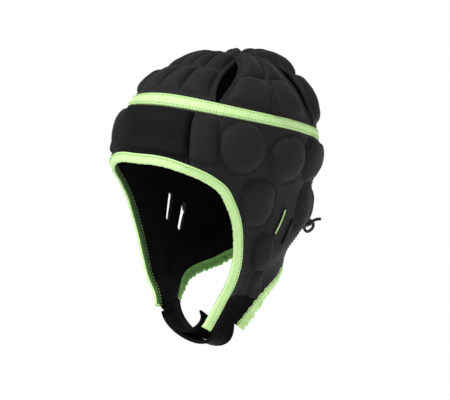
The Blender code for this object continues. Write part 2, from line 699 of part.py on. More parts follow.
def binding(name, line, right, left, finish):
    """Tape round the cloth's edge from one end of the strap to the other."""
    frames = []
    sides = [(share, -1.0) for share in right[::-1]] + [(share, 1.0) for share in left[1:]]
    for share, side in sides:
        turn, level, point, normal, inward = station(line, share, side)
        frames.append((point + normal * wall_middle(turn, level), normal, inward))
    return sweep(name, frames, BINDING_WIDTH, BINDING_THICKNESS, finish)


def strap_places(share, side):
    """Points of the strap's seam with a side panel."""
    turn, height = strap_seam(share, side)
    level = level_of(height - GAP)
    normal = outward(turn * side, level)
    return outline(turn * side, level) + normal * wall_middle(turn * side, level)[..., None]


def sleeve_place(along, share, inside=0.0):
    """Point of the strap's middle surface: along is -1 at the right jaw and 1 at the left."""
    right, left = strap_places(share, -1.0), strap_places(share, 1.0)
    angle = (1 - along) * math.pi / 2
    half = (left - right) / 2
    point = (left + right) / 2 + half * math.cos(angle)
    sag = STRAP_SAG + (STRAP_REAR_SAG - STRAP_SAG) * share
    point[..., 2] -= sag * abs(math.sin(angle)) ** STRAP_FULLNESS
    inward = unit(np.stack([-math.cos(angle) * sag, math.sin(angle) * half[..., 0]], axis=-1))
    point[..., 0] += inside * inward[..., 0]
    point[..., 2] += inside * inward[..., 1]
    return point


def tongue_place(along, share):
    """The tongue leaves the right jaw, hangs inside the sleeve and ends inside the left jaw."""
    clear, rise, top = TONGUE_STATIONS
    inside = TONGUE_SPACE * smooth_step((along + 1) / (clear + 1))
    point = sleeve_place(along, share, inside)
    point[..., 2] += TONGUE_RISE * smooth_step((along - rise) / (top - rise))
    point[..., 0] -= TONGUE_INSET * smooth_step(along) ** 2
    return point


def strap(name, stations, place, finish):
    """Strap wall through stations, each a row of points from its front to its rear edge."""
    share = np.linspace(0.0, 1.0, 6)
    middle = np.array([place(along, share) for along in stations])
    ahead = np.gradient(middle, axis=0)
    across = np.gradient(middle, axis=1)
    normal = unit(np.cross(across, ahead))
    outer = middle + normal * STRAP_THICKNESS / 2
    inner = middle - normal * STRAP_THICKNESS / 2
    return slab(name, outer, inner, finish)


def tube(name, points, diameter, finish):
    """Round cord through points."""
    curve = bpy.data.curves.new(name, "CURVE")
    curve.dimensions = "3D"
    curve.bevel_depth = diameter / 2
    curve.bevel_resolution = 2
    curve.use_fill_caps = True
    spline = curve.splines.new("POLY")
    spline.points.add(len(points) - 1)
    for target, point in zip(spline.points, points):
        target.co = (*point, 1.0)
    curve.materials.append(finish)
    cord = bpy.data.objects.new(name, curve)
    bpy.context.scene.collection.objects.link(cord)
    return cord


def smooth_route(points, spacing):
    """Evenly spaced points on a smooth curve through a route's own points."""
    points = np.asarray(points, float)
    run = np.concatenate([[0.0], np.cumsum(np.linalg.norm(np.diff(points, axis=0), axis=1))])
    fine = np.linspace(0.0, run[-1], 400)
    dense = np.stack([smooth_curve(run, points[:, axis], fine) for axis in range(3)], axis=-1)
    length = np.concatenate([[0.0], np.cumsum(np.linalg.norm(np.diff(dense, axis=0), axis=1))])
    count = max(4, int(round(length[-1] / spacing)) + 1)
    at = np.linspace(0.0, length[-1], count)
    return np.stack([np.interp(at, length, dense[:, axis]) for axis in range(3)], axis=-1)


def on_back(turn, level, stand):
    """Point that stands over the back panel's outer face, in the cap's own frame."""
    offset = wall_middle(turn, level) + CLOTH / 2 + back_rise(turn, level) + stand
    point = outline(turn, level) + outward(turn, level) * np.asarray(offset)[..., None]
    return point - np.array([0.0, 0.0, SEAT_LEVEL])


def lace(finish):
    """Cord that crosses the back slot over and over and runs to its knot."""
    lie = LACE_DIAMETER / 2 + LACE_CLEARANCE
    knot = on_back(KNOT_TURN, -KNOT_DROP, KNOT_DIAMETER / 2 + GAP)
    knot_across = math.radians(180.0 - KNOT_TURN) * MEAN_RADIUS
    knot_below = (KNOT_DROP - BACK_SLOT_DROP) * CHEEK_DEPTH
    flat = [(a * LACE_SPREAD, d * BACK_SLOT_LENGTH, 0.0) for a, d in LACE_CROSSINGS]
    flat.append((knot_across * LACE_LOW_SHARE, knot_below, 0.0))
    flat.append((knot_across - KNOT_DIAMETER / 2, knot_below, 0.0))
    spread = smooth_route(flat, LACE_DIAMETER * 2)
    turn = 180.0 - np.degrees(spread[:, 0] / MEAN_RADIUS)
    level = -BACK_SLOT_DROP - spread[:, 1] / CHEEK_DEPTH
    route = on_back(turn, level, lie)
    route[-1] = knot + unit(route[-2] - knot) * (KNOT_DIAMETER / 2 + GAP)
    tube("lace", route, LACE_DIAMETER, finish)
    return knot


def lace_knot(knot, finish):
    """Round knot of the lace."""
    radius = KNOT_DIAMETER / 2
    rings, sides = 6, 8
    vertices = [knot + np.array([0.0, 0.0, radius])]
    for ring in range(1, rings):
        polar = math.pi * ring / rings
        for side in range(sides):
            angle = 2 * math.pi * side / sides
            flat = radius * math.sin(polar)
            offset = (flat * math.cos(angle), flat * math.sin(angle), radius * math.cos(polar))
            vertices.append(knot + np.array(offset))
    vertices.append(knot - np.array([0.0, 0.0, radius]))
    faces = []
    for side in range(sides):
        after = (side + 1) % sides
        faces.append((0, 1 + side, 1 + after))
        for ring in range(rings - 2):
            a = 1 + ring * sides
            faces.append((a + side, a + sides + side, a + sides + after, a + after))
        low = 1 + (rings - 2) * sides
        faces.append((low + side, len(vertices) - 1, low + after))
    lift = np.array([0.0, 0.0, SEAT_LEVEL])
    add_object("lace_knot", np.array(vertices) + lift, faces, finish)


def lace_end(knot, finish):
    """Free end of the lace: down from the knot, round in a small loop and out."""
    angle = math.radians(LACE_END_HEADING)
    right = np.array([math.cos(angle), math.sin(angle), 0.0])
    back = np.array([-math.sin(angle), math.cos(angle), 0.0])
    up = np.array([0.0, 0.0, 1.0])
    points = [knot + KNOT_DIAMETER * (r * right + b * back + u * up) for r, b, u in LACE_END]
    tube("lace_end", smooth_route(points, LACE_DIAMETER), LACE_DIAMETER, finish)


def clear_scene():
    for thing in list(bpy.data.objects):
        bpy.data.objects.remove(thing, do_unlink=True)


def build():
    clear_scene()
    black = (0.02, 0.02, 0.021)
    lime = (0.60, 0.92, 0.32)
    crown_cloth = material("crown_cloth", black, 0.85)
    side_cloth = material("side_cloth", black, 0.85)
    brow_cloth = material("brow_cloth", (0.017, 0.017, 0.018), 0.6)
    tape = material("tape", lime, 0.7)
    strap_cloth = material("strap_cloth", (0.025, 0.025, 0.026), 0.7)
    cord = material("cord", (0.015, 0.015, 0.015), 0.6)
    near, far = VENT_TURNS
    crown_panel("crown_front", -near, near, 3, CROWN_SPLIT, crown_cloth)
    crown_panel("crown_left", near, far, 2, SIDE_CROWN_SPLIT, crown_cloth)
    crown_panel("crown_right", -far, -near, 2, SIDE_CROWN_SPLIT, crown_cloth)
    crown_panel("crown_back", far, 360.0 - far, 4, CROWN_SPLIT, crown_cloth)
    crown_band(tape)
    hanging_panel("brow_panel", face_line, BROW_SHARES, BROW_TURN, 6, brow_rise, brow_cloth)
    side_panel("side_panel_left", 1.0, side_cloth)
    side_panel("side_panel_right", -1.0, side_cloth)
    back = hanging_panel("back_panel", neck_line, NAPE_SHARES, REAR_TURN, 13, back_rise, side_cloth)
    reach = BACK_SLOT_LENGTH / 2 / CHEEK_DEPTH
    ends = np.array([[180.0, BACK_SLOT_DROP - reach], [180.0, BACK_SLOT_DROP + reach]])
    cut_slot(back, "back_slot_cutter", ends, 1.0, BACK_SLOT_LENGTH, BACK_SLOT_WIDTH)
    face = [np.concatenate([BROW_SHARES, cheek_shares(side)[1:]]) for side in (-1.0, 1.0)]
    neck = [np.concatenate([NAPE_SHARES, jaw_shares(side)[1:]]) for side in (-1.0, 1.0)]
    binding("face_binding", face_line, *face, tape)
    binding("neck_binding", neck_line, *neck, tape)
    strap("chin_strap_sleeve", np.linspace(1.0, -0.5, 22), sleeve_place, strap_cloth)
    strap("chin_strap_tongue", np.linspace(-1.0, 0.9, 26), tongue_place, strap_cloth)
    knot = lace(cord)
    lace_knot(knot, cord)
    lace_end(knot, cord)


build()
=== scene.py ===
"""Looks of a padded rugby scrum cap: moulded pads, bright tape, stitches, strap and lace.

Metres, +Z up. The face looks along -Y and the wearer's left is +X. The origin is the point
inside the top of the crown where the cap sits on a head. A place on the cap is a turn, in
degrees from the middle of the brow round to the wearer's left, and a level: a share of
CHEEK_DEPTH below the widest section when negative, an angle up the dome when positive.
"""

import math

import bmesh
import bpy
import numpy as np
from mathutils import Matrix, Vector


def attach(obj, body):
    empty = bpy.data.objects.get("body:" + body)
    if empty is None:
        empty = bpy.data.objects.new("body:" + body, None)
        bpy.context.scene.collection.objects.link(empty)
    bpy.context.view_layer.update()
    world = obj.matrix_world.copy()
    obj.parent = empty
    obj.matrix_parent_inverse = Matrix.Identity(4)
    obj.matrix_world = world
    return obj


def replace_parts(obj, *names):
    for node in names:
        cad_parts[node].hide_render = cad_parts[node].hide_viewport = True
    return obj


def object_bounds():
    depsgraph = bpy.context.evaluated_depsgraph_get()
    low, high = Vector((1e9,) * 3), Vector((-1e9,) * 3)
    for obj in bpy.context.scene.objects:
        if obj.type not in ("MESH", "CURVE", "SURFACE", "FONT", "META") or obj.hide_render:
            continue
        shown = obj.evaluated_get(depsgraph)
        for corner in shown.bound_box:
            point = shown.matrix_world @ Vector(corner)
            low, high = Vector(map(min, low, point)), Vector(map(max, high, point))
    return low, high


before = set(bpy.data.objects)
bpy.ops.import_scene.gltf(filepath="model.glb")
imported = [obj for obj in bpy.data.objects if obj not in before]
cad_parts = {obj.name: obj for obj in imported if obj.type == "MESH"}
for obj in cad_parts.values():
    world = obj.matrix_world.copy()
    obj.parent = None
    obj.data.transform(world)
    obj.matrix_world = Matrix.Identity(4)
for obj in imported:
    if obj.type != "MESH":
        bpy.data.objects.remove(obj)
cad_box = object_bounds()

# The cap's own sizes, the same as in the CAD model
HEAD_LENGTH = 0.216
HEAD_WIDTH = 0.176
CROWN_HEIGHT = 0.0905
CROWN_POWER = 2.3
CROWN_SHIFT = 0.018
CHEEK_DEPTH = 0.160
BAND_LEVEL = 0.0345
BAND_SLOPE = 0.028
BAND_WIDTH = 0.0095
BAND_THICKNESS = 0.0042
CLOTH = 0.003
INSET = 0.0055
PAD_PUFF = 0.0078  # a shown pad is rounder and higher in its middle than the CAD's
BROW_RISE = 0.005
BROW_FLARE = 0.005
BINDING_WIDTH = 0.010
EDGE_REACH = 0.022
PULL_REACH = 0.045
HEM_WIDTH = 0.006
FRONT_VENT_WIDTH = 0.013
REAR_VENT_WIDTH = 0.021
REAR_VENT_SLOPE = 0.024
TIP_REACH = 0.013
SLIT_LENGTH = 0.028
SLIT_WIDTH = 0.0055
BACK_SLOT_LENGTH = 0.060
BACK_SLOT_WIDTH = 0.008
STRAP_THICKNESS = 0.0025
STRAP_SAG = 0.0195
STRAP_REAR_SAG = 0.0305
TONGUE_SPACE = 0.0034
TONGUE_INSET = 0.011
SLEEVE_END = -0.9
STRAP_LAP = 0.027
STRAP_LAP_SLOPE = 0.004
STRAP_LAP_RISE = 0.0009
TONGUE_RISE = 0.021
LACE_DIAMETER = 0.003
LACE_CLEARANCE = 0.0022
KNOT_DIAMETER = 0.0075
KNOT_LOOSE = 1.3  # the shown knot is looser than the plain ball that stands for it
BINDING_GAP = 0.0006
GAP = 0.0003
BROW_TURN = 30.0
REAR_TURN = 128.0
VENT_TURNS = (43.0, 115.5)
VENT_LEAN = 14.0
VENT_TOP = 0.76
TIP_LEVEL = math.pi / 2 - 0.0025
CROWN_HEM = 0.07
CROWN_ROWS = (0.05, 0.92)
CROWN_SPLIT = 0.5
SIDE_CROWN_SPLIT = 0.41
STRAP_FULLNESS = 0.8
TONGUE_STATIONS = (-0.93, -0.3, 0.75)
TONGUE_TWIST = 0.95  # the tongue's rear edge rises this much less than its front one
LACE_LOW_SHARE = 0.6
STRAP_REAR_TURN = 65.0
FACE_ENDS = {1.0: 1.0, -1.0: 0.92}
NECK_ENDS = {1.0: 1.0, -1.0: 0.87}
MEAN_RADIUS = (HEAD_LENGTH + HEAD_WIDTH) / 4
SEAT_LEVEL = CROWN_HEIGHT - INSET - CLOTH / 2
SEAT = np.array([0.0, 0.0, SEAT_LEVEL])

SECTIONS = {
    "drop": (0.00, 0.09, 0.18, 0.275, 0.38, 0.48, 0.66, 0.76, 0.85, 1.00, 1.15),
    "width": (1.015, 1.00, 0.96, 0.91, 0.87, 0.83, 0.76, 0.71, 0.65, 0.625, 0.61),
    "front": (1.10, 1.06, 0.98, 0.91, 0.87, 0.83, 0.76, 0.71, 0.65, 0.625, 0.61),
    "back": (0.965, 0.96, 0.945, 0.93, 0.915, 0.88, 0.78, 0.71, 0.64, 0.62, 0.61),
}
FACE_EDGE = {
    "turn": (0.0, 12.0, 25.0, 37.0, 45.0, 50.0, 54.0, 55.5, 54.5, 50.8, 43.9, 30.0),
    "drop": (-0.015, -0.012, 0.018, 0.075, 0.148, 0.26, 0.38, 0.50, 0.66, 0.756, 0.854, 1.02),
}
LOWER_EDGE = {
    "turn": (30.0, 48.0, 65.0, 75.0, 85.0, 94.0, 116.0, 128.0, 140.0, 160.0, 180.0),
    "drop": (1.02, 1.03, 1.04, 0.965, 0.89, 0.83, 0.765, 0.745, 0.71, 0.675, 0.665),
    "draw": (0.00, 0.10, 0.20, 0.165, 0.13, 0.13, 0.19, 0.21, 0.21, 0.20, 0.19),
}
PAD_SIZE = 0.042
SIDE_PADS = (
    {"turn": 37.0, "drop": -0.135, "width": 0.31, "height": 0.48, "rise": 1.0, "power": 5.5},
    {"turn": 59.0, "drop": -0.07, "width": 0.49, "height": 0.53, "rise": 1.0, "power": 2.15},
    {"turn": 87.5, "drop": 0.025, "width": 0.50, "height": 0.49, "rise": 1.0, "power": 2.15},
    {"turn": 114.0, "drop": 0.06, "width": 0.48, "height": 0.48, "rise": 1.0, "power": 2.15},
    {"turn": 68.0, "drop": 0.275, "width": 0.46, "height": 0.51, "rise": 1.0, "power": 2.15},
    {"turn": 77.0, "drop": 0.585, "width": 0.33, "height": 0.41, "rise": 0.9, "power": 2.2},
    {"turn": 78.0, "drop": 0.79, "width": 0.26, "height": 0.30, "rise": 0.5, "power": 3.0},
    {"turn": 114.0, "drop": 0.36, "width": 0.36, "height": 0.52, "rise": 0.9, "power": 3.0},
)
BACK_PADS = (
    {"turn": 143.0, "drop": 0.08, "width": 0.46, "height": 0.46, "rise": 1.0, "power": 2.15},
    {"turn": 168.0, "drop": 0.04, "width": 0.42, "height": 0.38, "rise": 1.0, "power": 2.15},
    {"turn": 149.0, "drop": 0.40, "width": 0.50, "height": 0.50, "rise": 1.0, "power": 2.15},
)
EAR_SLITS = (
    {"top_turn": 91.4, "top_drop": 0.33, "low_turn": 85.2, "low_drop": 0.48},
    {"top_turn": 101.0, "top_drop": 0.40, "low_turn": 94.5, "low_drop": 0.55},
)
SLIT_SHIFTS = {1.0: 0.0, -1.0: 4.0}
BACK_SLOT_DROP = 0.36
LACE_CROSSINGS = ((-1.0, -0.38), (1.0, -0.20), (-1.0, -0.02), (1.0, 0.16), (-1.0, 0.34))
LACE_SPREAD = 0.010
KNOT_TURN = 152.0
KNOT_DROP = 0.468
LACE_END = (
    (-0.27, 0.27, -0.40),
    (-0.45, 0.50, -0.90),
    (-0.12, 0.62, -1.32),
    (0.48, 0.64, -1.02),
    (0.74, 0.64, -0.45),
    (0.64, 0.64, 0.02),
    (1.05, 0.52, 0.26),
    (1.70, 0.35, 0.38),
)
LACE_END_HEADING = 39.0

# Finer sizes that only the looks need
STITCH_PITCH = 0.0032
# Sizes of a thin bright line in the left front ear slit: painted light, not a real piping on the cap.
PAINTED_LIGHT_DIAMETER = 0.0015
PAINTED_LIGHT_BOW = 0.9
PAINTED_LIGHT_SHIFT = 0.6
STITCH_LENGTH = 0.0021
THREAD = 0.00045
UNDER_TAPE = 0.0026  # the shown cloth runs on under its tape
SEAM_LAP = 0.0004  # the shown panels meet a little past their seams
TAPE_LIP = 0.0007
TAPE_HALF = 0.0019  # half the thickness of the folded tape with the cloth in it
CELL = 0.0017  # spacing of the fine cloth grids
WEAVE = 0.0021  # period of the mesh cloth
RIB = 0.0011  # period of the tape's ribs
RIM_RADIUS = 0.0014  # of a panel's free edge
STRAP_RIM_RADIUS = 0.0012
PAD_EDGE = 1.10  # where a pad ends, in shares of its half size
PAD_FALL = 2.5
PAD_SHOULDER = 0.72
ROW_FALL = 2.8
ROW_SHOULDER = 0.6
FACET = 0.014  # a round pad is a little faceted by its stitches
FACETS = 8
EDGE_FADE = (0.001, 0.005)  # flat hem beside a binding, and the pads' slope down to it
BAND_FADE = (0.0005, 0.004)
STRAP_LAP_EDGE = (0.0012, 0.002)  # slopes of the sewn strap's upper border and sides
SLOT_FADE = (0.004, 0.006)  # slopes at the ends of the laced slot's hem and beside it
RIDGE_END = (0.46, 0.05)  # climb at which the side crown's ridge ends, and its slope
WRINKLE_SCALES = (0.034, 0.021, 0.012, 0.008)
CROWN_WRINKLE = 0.0006
PANEL_WRINKLE = 0.0003
BROW_WRINKLE = 0.00018
JAW_FOLD = 0.0007
JAW_FOLD_PERIOD = 0.011
JAW_FOLD_SLANT = 160
PUCKER = 0.00018
PUCKER_PERIOD = 0.0064
GATHER_PERIOD = 0.0052
SWELL_PERIOD = 0.0075
BAND_BULGE = 0.0003
TAPE_PUFF = 0.16  # of the folded tape's free side
SIDE_PANEL_SIZE = (0.215, 0.150)  # rough height and width, for the number of cells
HANGING_WIDTH = 0.060
BROW_DEPTH = 0.060
BACK_DEPTH = 0.115
KNOT_SPREAD = (0.62, 0.38)  # mean radius of the knot's winding and how far it swings
KNOT_LIFT = 0.55

# Beads, folds and grooves: height, distance of the middle and half width
PAD_GROOVE = (-0.18, 1.13, 0.06)
SLIT_BEAD = (0.0007, 0.0030, 0.0009)
HEM_BEAD = (0.0009, 0.0012, 0.0008)
CROWN_RIDGE = (0.0050, 0.0, 0.0011)
STRAP_BEAD = (0.0004, 0.0016, 0.0007)
STRAP_GROOVE = (-0.0003, 0.0034, 0.0005)
SEAM_FOLD_RISE = 0.0011
SEAM_FOLDS = ((1.0, 0.0022, 0.0011), (0.6, 0.0056, 0.0010))

# Camera: the photograph's frame and where its middle falls on the cap
LENS = 300.0
SENSOR = 36.0
FRAME_PIXELS = 450
PIXEL_SIZE = 0.000955
HEADING = 39.0
ELEVATION = 8.2
AIM = (0.0022, 0.0018, -0.1341)

# Stage: a wide pale floor well below the cap, an even fill and soft far lights
FLOOR_SIZE = 60.0
FLOOR_DROP = 0.25
FILL = 0.32


def smooth_curve(knots, values, at, level_start=False):
    """A smooth curve through short lists, held flat past both ends."""
    knots = np.asarray(knots, float)
    values = np.asarray(values, float)
    slopes = np.gradient(values, knots)
    if level_start:
        slopes[0] = 0.0
    at = np.clip(at, knots[0], knots[-1])
    cell = np.clip(np.searchsorted(knots, at, side="right") - 1, 0, len(knots) - 2)
    width = knots[cell + 1] - knots[cell]
    t = (at - knots[cell]) / width
    start = values[cell] * (1 + 2 * t) * (1 - t) ** 2 + slopes[cell] * width * t * (1 - t) ** 2
    end = values[cell + 1] * t * t * (3 - 2 * t) + slopes[cell + 1] * width * t * t * (t - 1)
    return start + end


def smooth_step(t):
    t = np.clip(t, 0.0, 1.0)
    return t * t * (3 - 2 * t)


def unit(vector):
    return vector / np.linalg.norm(vector, axis=-1, keepdims=True)


def bead(distance, height, place, width):
    """Rounded line that stands up, or lies low, at a distance from an edge."""
    return height * np.exp(-(((distance - place) / width) ** 2))


def distance_along(points):
    """Distance of each point from the first one, along a line of points."""
    return np.concatenate([[0.0], np.cumsum(np.linalg.norm(np.diff(points, axis=0), axis=1))])


def resampled(at, run, values):
    """Points or normals of a line at other distances along it."""
    return np.stack([np.interp(at, run, values[:, axis]) for axis in range(3)], axis=-1)


def facing(heading, rise):
    """Direction at a heading round from the brow and a height, both in degrees."""
    turn, up = math.radians(heading), math.radians(rise)
    return Vector((math.sin(turn) * math.cos(up), -math.cos(turn) * math.cos(up), math.sin(up)))


def add_object(name, data):
    made = bpy.data.objects.new(name, data)
    bpy.context.scene.collection.objects.link(made)
    return made


def level_of(height):
    """Level of a height over the widest section."""
    share = np.clip(np.asarray(height, float) / CROWN_HEIGHT, 0.0, 1.0)
    return np.where(height > 0, np.arcsin(share ** (CROWN_POWER / 2)), height / CHEEK_DEPTH)


def height_of(level):
    dome = np.sin(np.clip(level, 0.0, math.pi / 2)) ** (2 / CROWN_POWER)
    return np.where(np.asarray(level) > 0, CROWN_HEIGHT * dome, level * CHEEK_DEPTH)


def half_sizes(level):
    """Half width, half length to the front and to the back, and the middle's shift."""
    rise = np.clip(level, 0.0, math.pi / 2)
    drop = np.clip(-np.asarray(level, float), 0.0, None)
    dome = np.cos(rise) ** (2 / CROWN_POWER)
    sizes = []
    for side, whole in (("width", HEAD_WIDTH), ("front", HEAD_LENGTH), ("back", HEAD_LENGTH)):
        share = smooth_curve(SECTIONS["drop"], SECTIONS[side], drop, level_start=True)
        share = np.where(rise > 0, 1 + (share - 1) * np.cos(rise), share)
        sizes.append(whole / 2 * dome * share)
    shift = CROWN_SHIFT * (np.clip(height_of(level), 0.0, None) / CROWN_HEIGHT) ** 4
    return sizes[0], sizes[1], sizes[2], shift


def round_turn(turn):
    """A turn's angle from the brow, whichever side it is on."""
    return np.abs((np.asarray(turn, float) + 180.0) % 360.0 - 180.0)


def outline(turn, level):
    """Point of the pads' outline, its height counted from the widest section."""
    turn, level = np.broadcast_arrays(np.asarray(turn, float), np.asarray(level, float))
    width, front, back, shift = half_sizes(level)
    angle = np.radians(turn)
    length = np.where(np.cos(angle) > 0, front, back)
    side = round_turn(turn)
    edge_drop = smooth_curve(LOWER_EDGE["turn"], LOWER_EDGE["drop"], side)
    draw = smooth_curve(LOWER_EDGE["turn"], LOWER_EDGE["draw"], side)
    above = (edge_drop + np.minimum(level, 0.0)) * CHEEK_DEPTH
    kept = 1 - draw * smooth_step(1 - above / PULL_REACH)
    x = width * np.sin(angle) * kept
    y = (shift - length * np.cos(angle)) * kept
    return np.stack([x, y, height_of(level)], axis=-1)


def outward(turn, level):
    """Unit normal of the outline."""
    across = outline(np.add(turn, 0.05), level) - outline(np.subtract(turn, 0.05), level)
    up = outline(turn, np.add(level, 1e-4)) - outline(turn, np.subtract(level, 1e-4))
    return unit(np.cross(unit(across), unit(up)))


def turn_at(point, level):
    """Turn of a point at a known level."""
    width, front, back, shift = half_sizes(level)
    ahead = shift - point[..., 1]
    length = np.where(ahead > 0, front, back)
    return np.degrees(np.arctan2(point[..., 0] / width, ahead / length))


def unrolled(turn, height):
    return np.stack([np.radians(turn) * MEAN_RADIUS, height], axis=-1)


def edge_line(turns, drops):
    """Function of a share of an edge's length that gives its turn and height."""
    heights = -np.asarray(drops) * CHEEK_DEPTH
    steps = np.linalg.norm(np.diff(unrolled(turns, heights), axis=0), axis=1)
    run = np.concatenate([[0.0], np.cumsum(steps)]) / np.sum(steps)

    def at(share):
        return smooth_curve(run, turns, share), smooth_curve(run, heights, share)

    return at


def lower_part(first, last):
    """The stretch of the lower edge between two turns of its table, from the nape forward."""
    keep = [i for i, turn in enumerate(LOWER_EDGE["turn"]) if first <= turn <= last]
    rows = keep[::-1]
    return [LOWER_EDGE["turn"][i] for i in rows], [LOWER_EDGE["drop"][i] for i in rows]


face_line = edge_line(FACE_EDGE["turn"], FACE_EDGE["drop"])
neck_line = edge_line(*lower_part(STRAP_REAR_TURN, 180.0))
EDGE_SAMPLES = np.linspace(0.0, 1.0, 80)


def distance_to(line, turn, height):
    """Rough distance over the wall from places to an edge."""
    edge = unrolled(*line(EDGE_SAMPLES))
    place = unrolled(round_turn(turn), height)
    return np.min(np.linalg.norm(place[..., None, :] - edge, axis=-1), axis=-1)


def wall_middle(turn, level):
    """Offset of the cloth's middle from the outline: inside it, but out at the bound edges."""
    turn, level = np.broadcast_arrays(np.asarray(turn, float), np.asarray(level, float))
    height = height_of(level)
    face = smooth_step(1 - distance_to(face_line, turn, height) / EDGE_REACH)
    neck = smooth_step(1 - distance_to(neck_line, turn, height) / EDGE_REACH)
    flare = BROW_FLARE * face * np.clip(np.cos(np.radians(turn)), 0.0, None) ** 2
    return flare - INSET * (1 - np.maximum(face, neck))


def share_at_turn(line, turn):
    """Share of an edge's length at which it first passes a turn."""
    samples = np.linspace(0.0, 0.6, 200)
    passed = np.abs(line(samples)[0] - turn)
    return float(samples[int(np.argmin(passed))])


def station(line, share, side):
    """Frame of a place on an edge: turn, level, point, outward normal and way into the cloth."""
    step = 1e-3
    turn, height = line(share)
    before = line(np.maximum(share - step, 0.0))
    after = line(np.minimum(share + step, 1.0))
    level = level_of(height)
    point = outline(turn * side, level)
    normal = outward(turn * side, level)
    ahead = outline(after[0] * side, level_of(after[1]))
    behind = outline(before[0] * side, level_of(before[1]))
    along = unit(ahead - behind)
    way = -1.0 if line is face_line else 1.0
    inward = unit(np.cross(along, normal)) * side * way
    return turn * side, level, point, normal, inward


def inset_place(line, share, side, lap=0.0):
    """Turn and level of the cloth's own edge, which may run on under the binding."""
    _, _, point, _, inward = station(line, share, side)
    moved = point + inward * (BINDING_WIDTH / 2 + BINDING_GAP - lap)
    level = level_of(moved[..., 2])
    return turn_at(moved, level), level


def inset_height(line, turn):
    """Height of the cloth's own edge where it passes a turn."""
    edge_turn, edge_level = inset_place(line, np.linspace(0.0, 0.6, 200), 1.0, UNDER_TAPE)
    order = np.argsort(edge_turn)
    return float(np.interp(turn, edge_turn[order], height_of(edge_level)[order]))


def band_height(turn):
    """Height of the band's upper border."""
    return BAND_LEVEL + BAND_SLOPE * np.cos(np.radians(turn))


BROW_SHARE = share_at_turn(face_line, BROW_TURN)
REAR_SHARE = share_at_turn(neck_line, REAR_TURN)


# Materials


def new_material(name, colour, roughness):
    made = bpy.data.materials.new(name)
    made.use_nodes = True
    shader = made.node_tree.nodes["Principled BSDF"]
    shader.inputs["Base Color"].default_value = (*colour, 1.0)
    shader.inputs["Roughness"].default_value = roughness
    return made, made.node_tree, shader


def add_node(tree, kind, **values):
    node = tree.nodes.new(kind)
    for key, value in values.items():
        if key in node.inputs:
            node.inputs[key].default_value = value
        else:
            setattr(node, key, value)
    return node


def math_node(tree, operation, first, second):
    node = add_node(tree, "ShaderNodeMath", operation=operation)
    for socket, value in zip(node.inputs, (first, second)):
        if isinstance(value, (int, float)):
            socket.default_value = value
        else:
            tree.links.new(value, socket)
    return node.outputs[0]


def weave_height(tree, period, turned, uv_name="cloth"):
    """Two sets of fine parallel threads, as a height from 0 to 1."""
    place = add_node(tree, "ShaderNodeUVMap", uv_map=uv_name)
    heights = []
    for angle in (turned, turned + 90.0):
        spin = add_node(tree, "ShaderNodeMapping")
        spin.inputs["Rotation"].default_value = (0.0, 0.0, math.radians(angle))
        tree.links.new(place.outputs[0], spin.inputs[0])
        wave = add_node(tree, "ShaderNodeTexWave", wave_type="BANDS", bands_direction="X")
        wave.inputs["Scale"].default_value = 2 * math.pi / 20 / period
        wave.inputs["Distortion"].default_value = 0.0
        tree.links.new(spin.outputs[0], wave.inputs[0])
        heights.append(wave.outputs["Fac"])
    return math_node(tree, "MULTIPLY", heights[0], heights[1])


def mixed(tree, first, share, second):
    """Mix of two heights, with a share of the first."""
    pair = ((first, share), (second, 1 - share))
    return math_node(tree, "ADD", *(math_node(tree, "MULTIPLY", height, part) for height, part in pair))


def mottle(tree, scale, detail=4.0):
    place = add_node(tree, "ShaderNodeTexCoord")
    noise = add_node(tree, "ShaderNodeTexNoise", Scale=scale, Detail=detail, Roughness=0.6)
    tree.links.new(place.outputs["Object"], noise.inputs["Vector"])
    return noise.outputs["Fac"]


def ramp(tree, factor, stops):
    node = add_node(tree, "ShaderNodeValToRGB")
    elements = node.color_ramp.elements
    while len(elements) < len(stops):
        elements.new(0.5)
    for element, (position, colour) in zip(elements, stops):
        element.position = position
        element.color = (*colour, 1.0)
    tree.links.new(factor, node.inputs[0])
    return node.outputs[0]


def bump(tree, shader, height, distance, strength=1.0, under=None):
    node = add_node(tree, "ShaderNodeBump", Strength=strength, Distance=distance)
    tree.links.new(height, node.inputs["Height"])
    if under is not None:
        tree.links.new(under, node.inputs["Normal"])
    tree.links.new(node.outputs[0], shader.inputs["Normal"])
    return node.outputs[0]


def varied_roughness(tree, shader, factor, low, high):
    spread = add_node(tree, "ShaderNodeMapRange")
    spread.inputs["To Min"].default_value = low
    spread.inputs["To Max"].default_value = high
    tree.links.new(factor, spread.inputs[0])
    tree.links.new(spread.outputs[0], shader.inputs["Roughness"])


def mesh_cloth(name, dark, light, roughness, period, depth, gloss=0.2):
    """Knitted mesh: holes between diagonal threads, a little worn and uneven."""
    made, tree, shader = new_material(name, light, roughness)
    threads = weave_height(tree, period, 45.0)
    uneven = mottle(tree, 55.0)
    colour = ramp(tree, mixed(tree, threads, 0.75, uneven), ((0.05, dark), (0.55, light)))
    tree.links.new(colour, shader.inputs["Base Color"])
    varied_roughness(tree, shader, uneven, roughness - 0.08, roughness + 0.08)
    below = bump(tree, shader, mottle(tree, 240.0, 2.0), 0.00025, 0.5)
    bump(tree, shader, threads, depth, 0.8, under=below)
    shader.inputs["Sheen Weight"].default_value = gloss / 4
    shader.inputs["Sheen Roughness"].default_value = 0.45
    shader.inputs["Specular IOR Level"].default_value = gloss
    return made


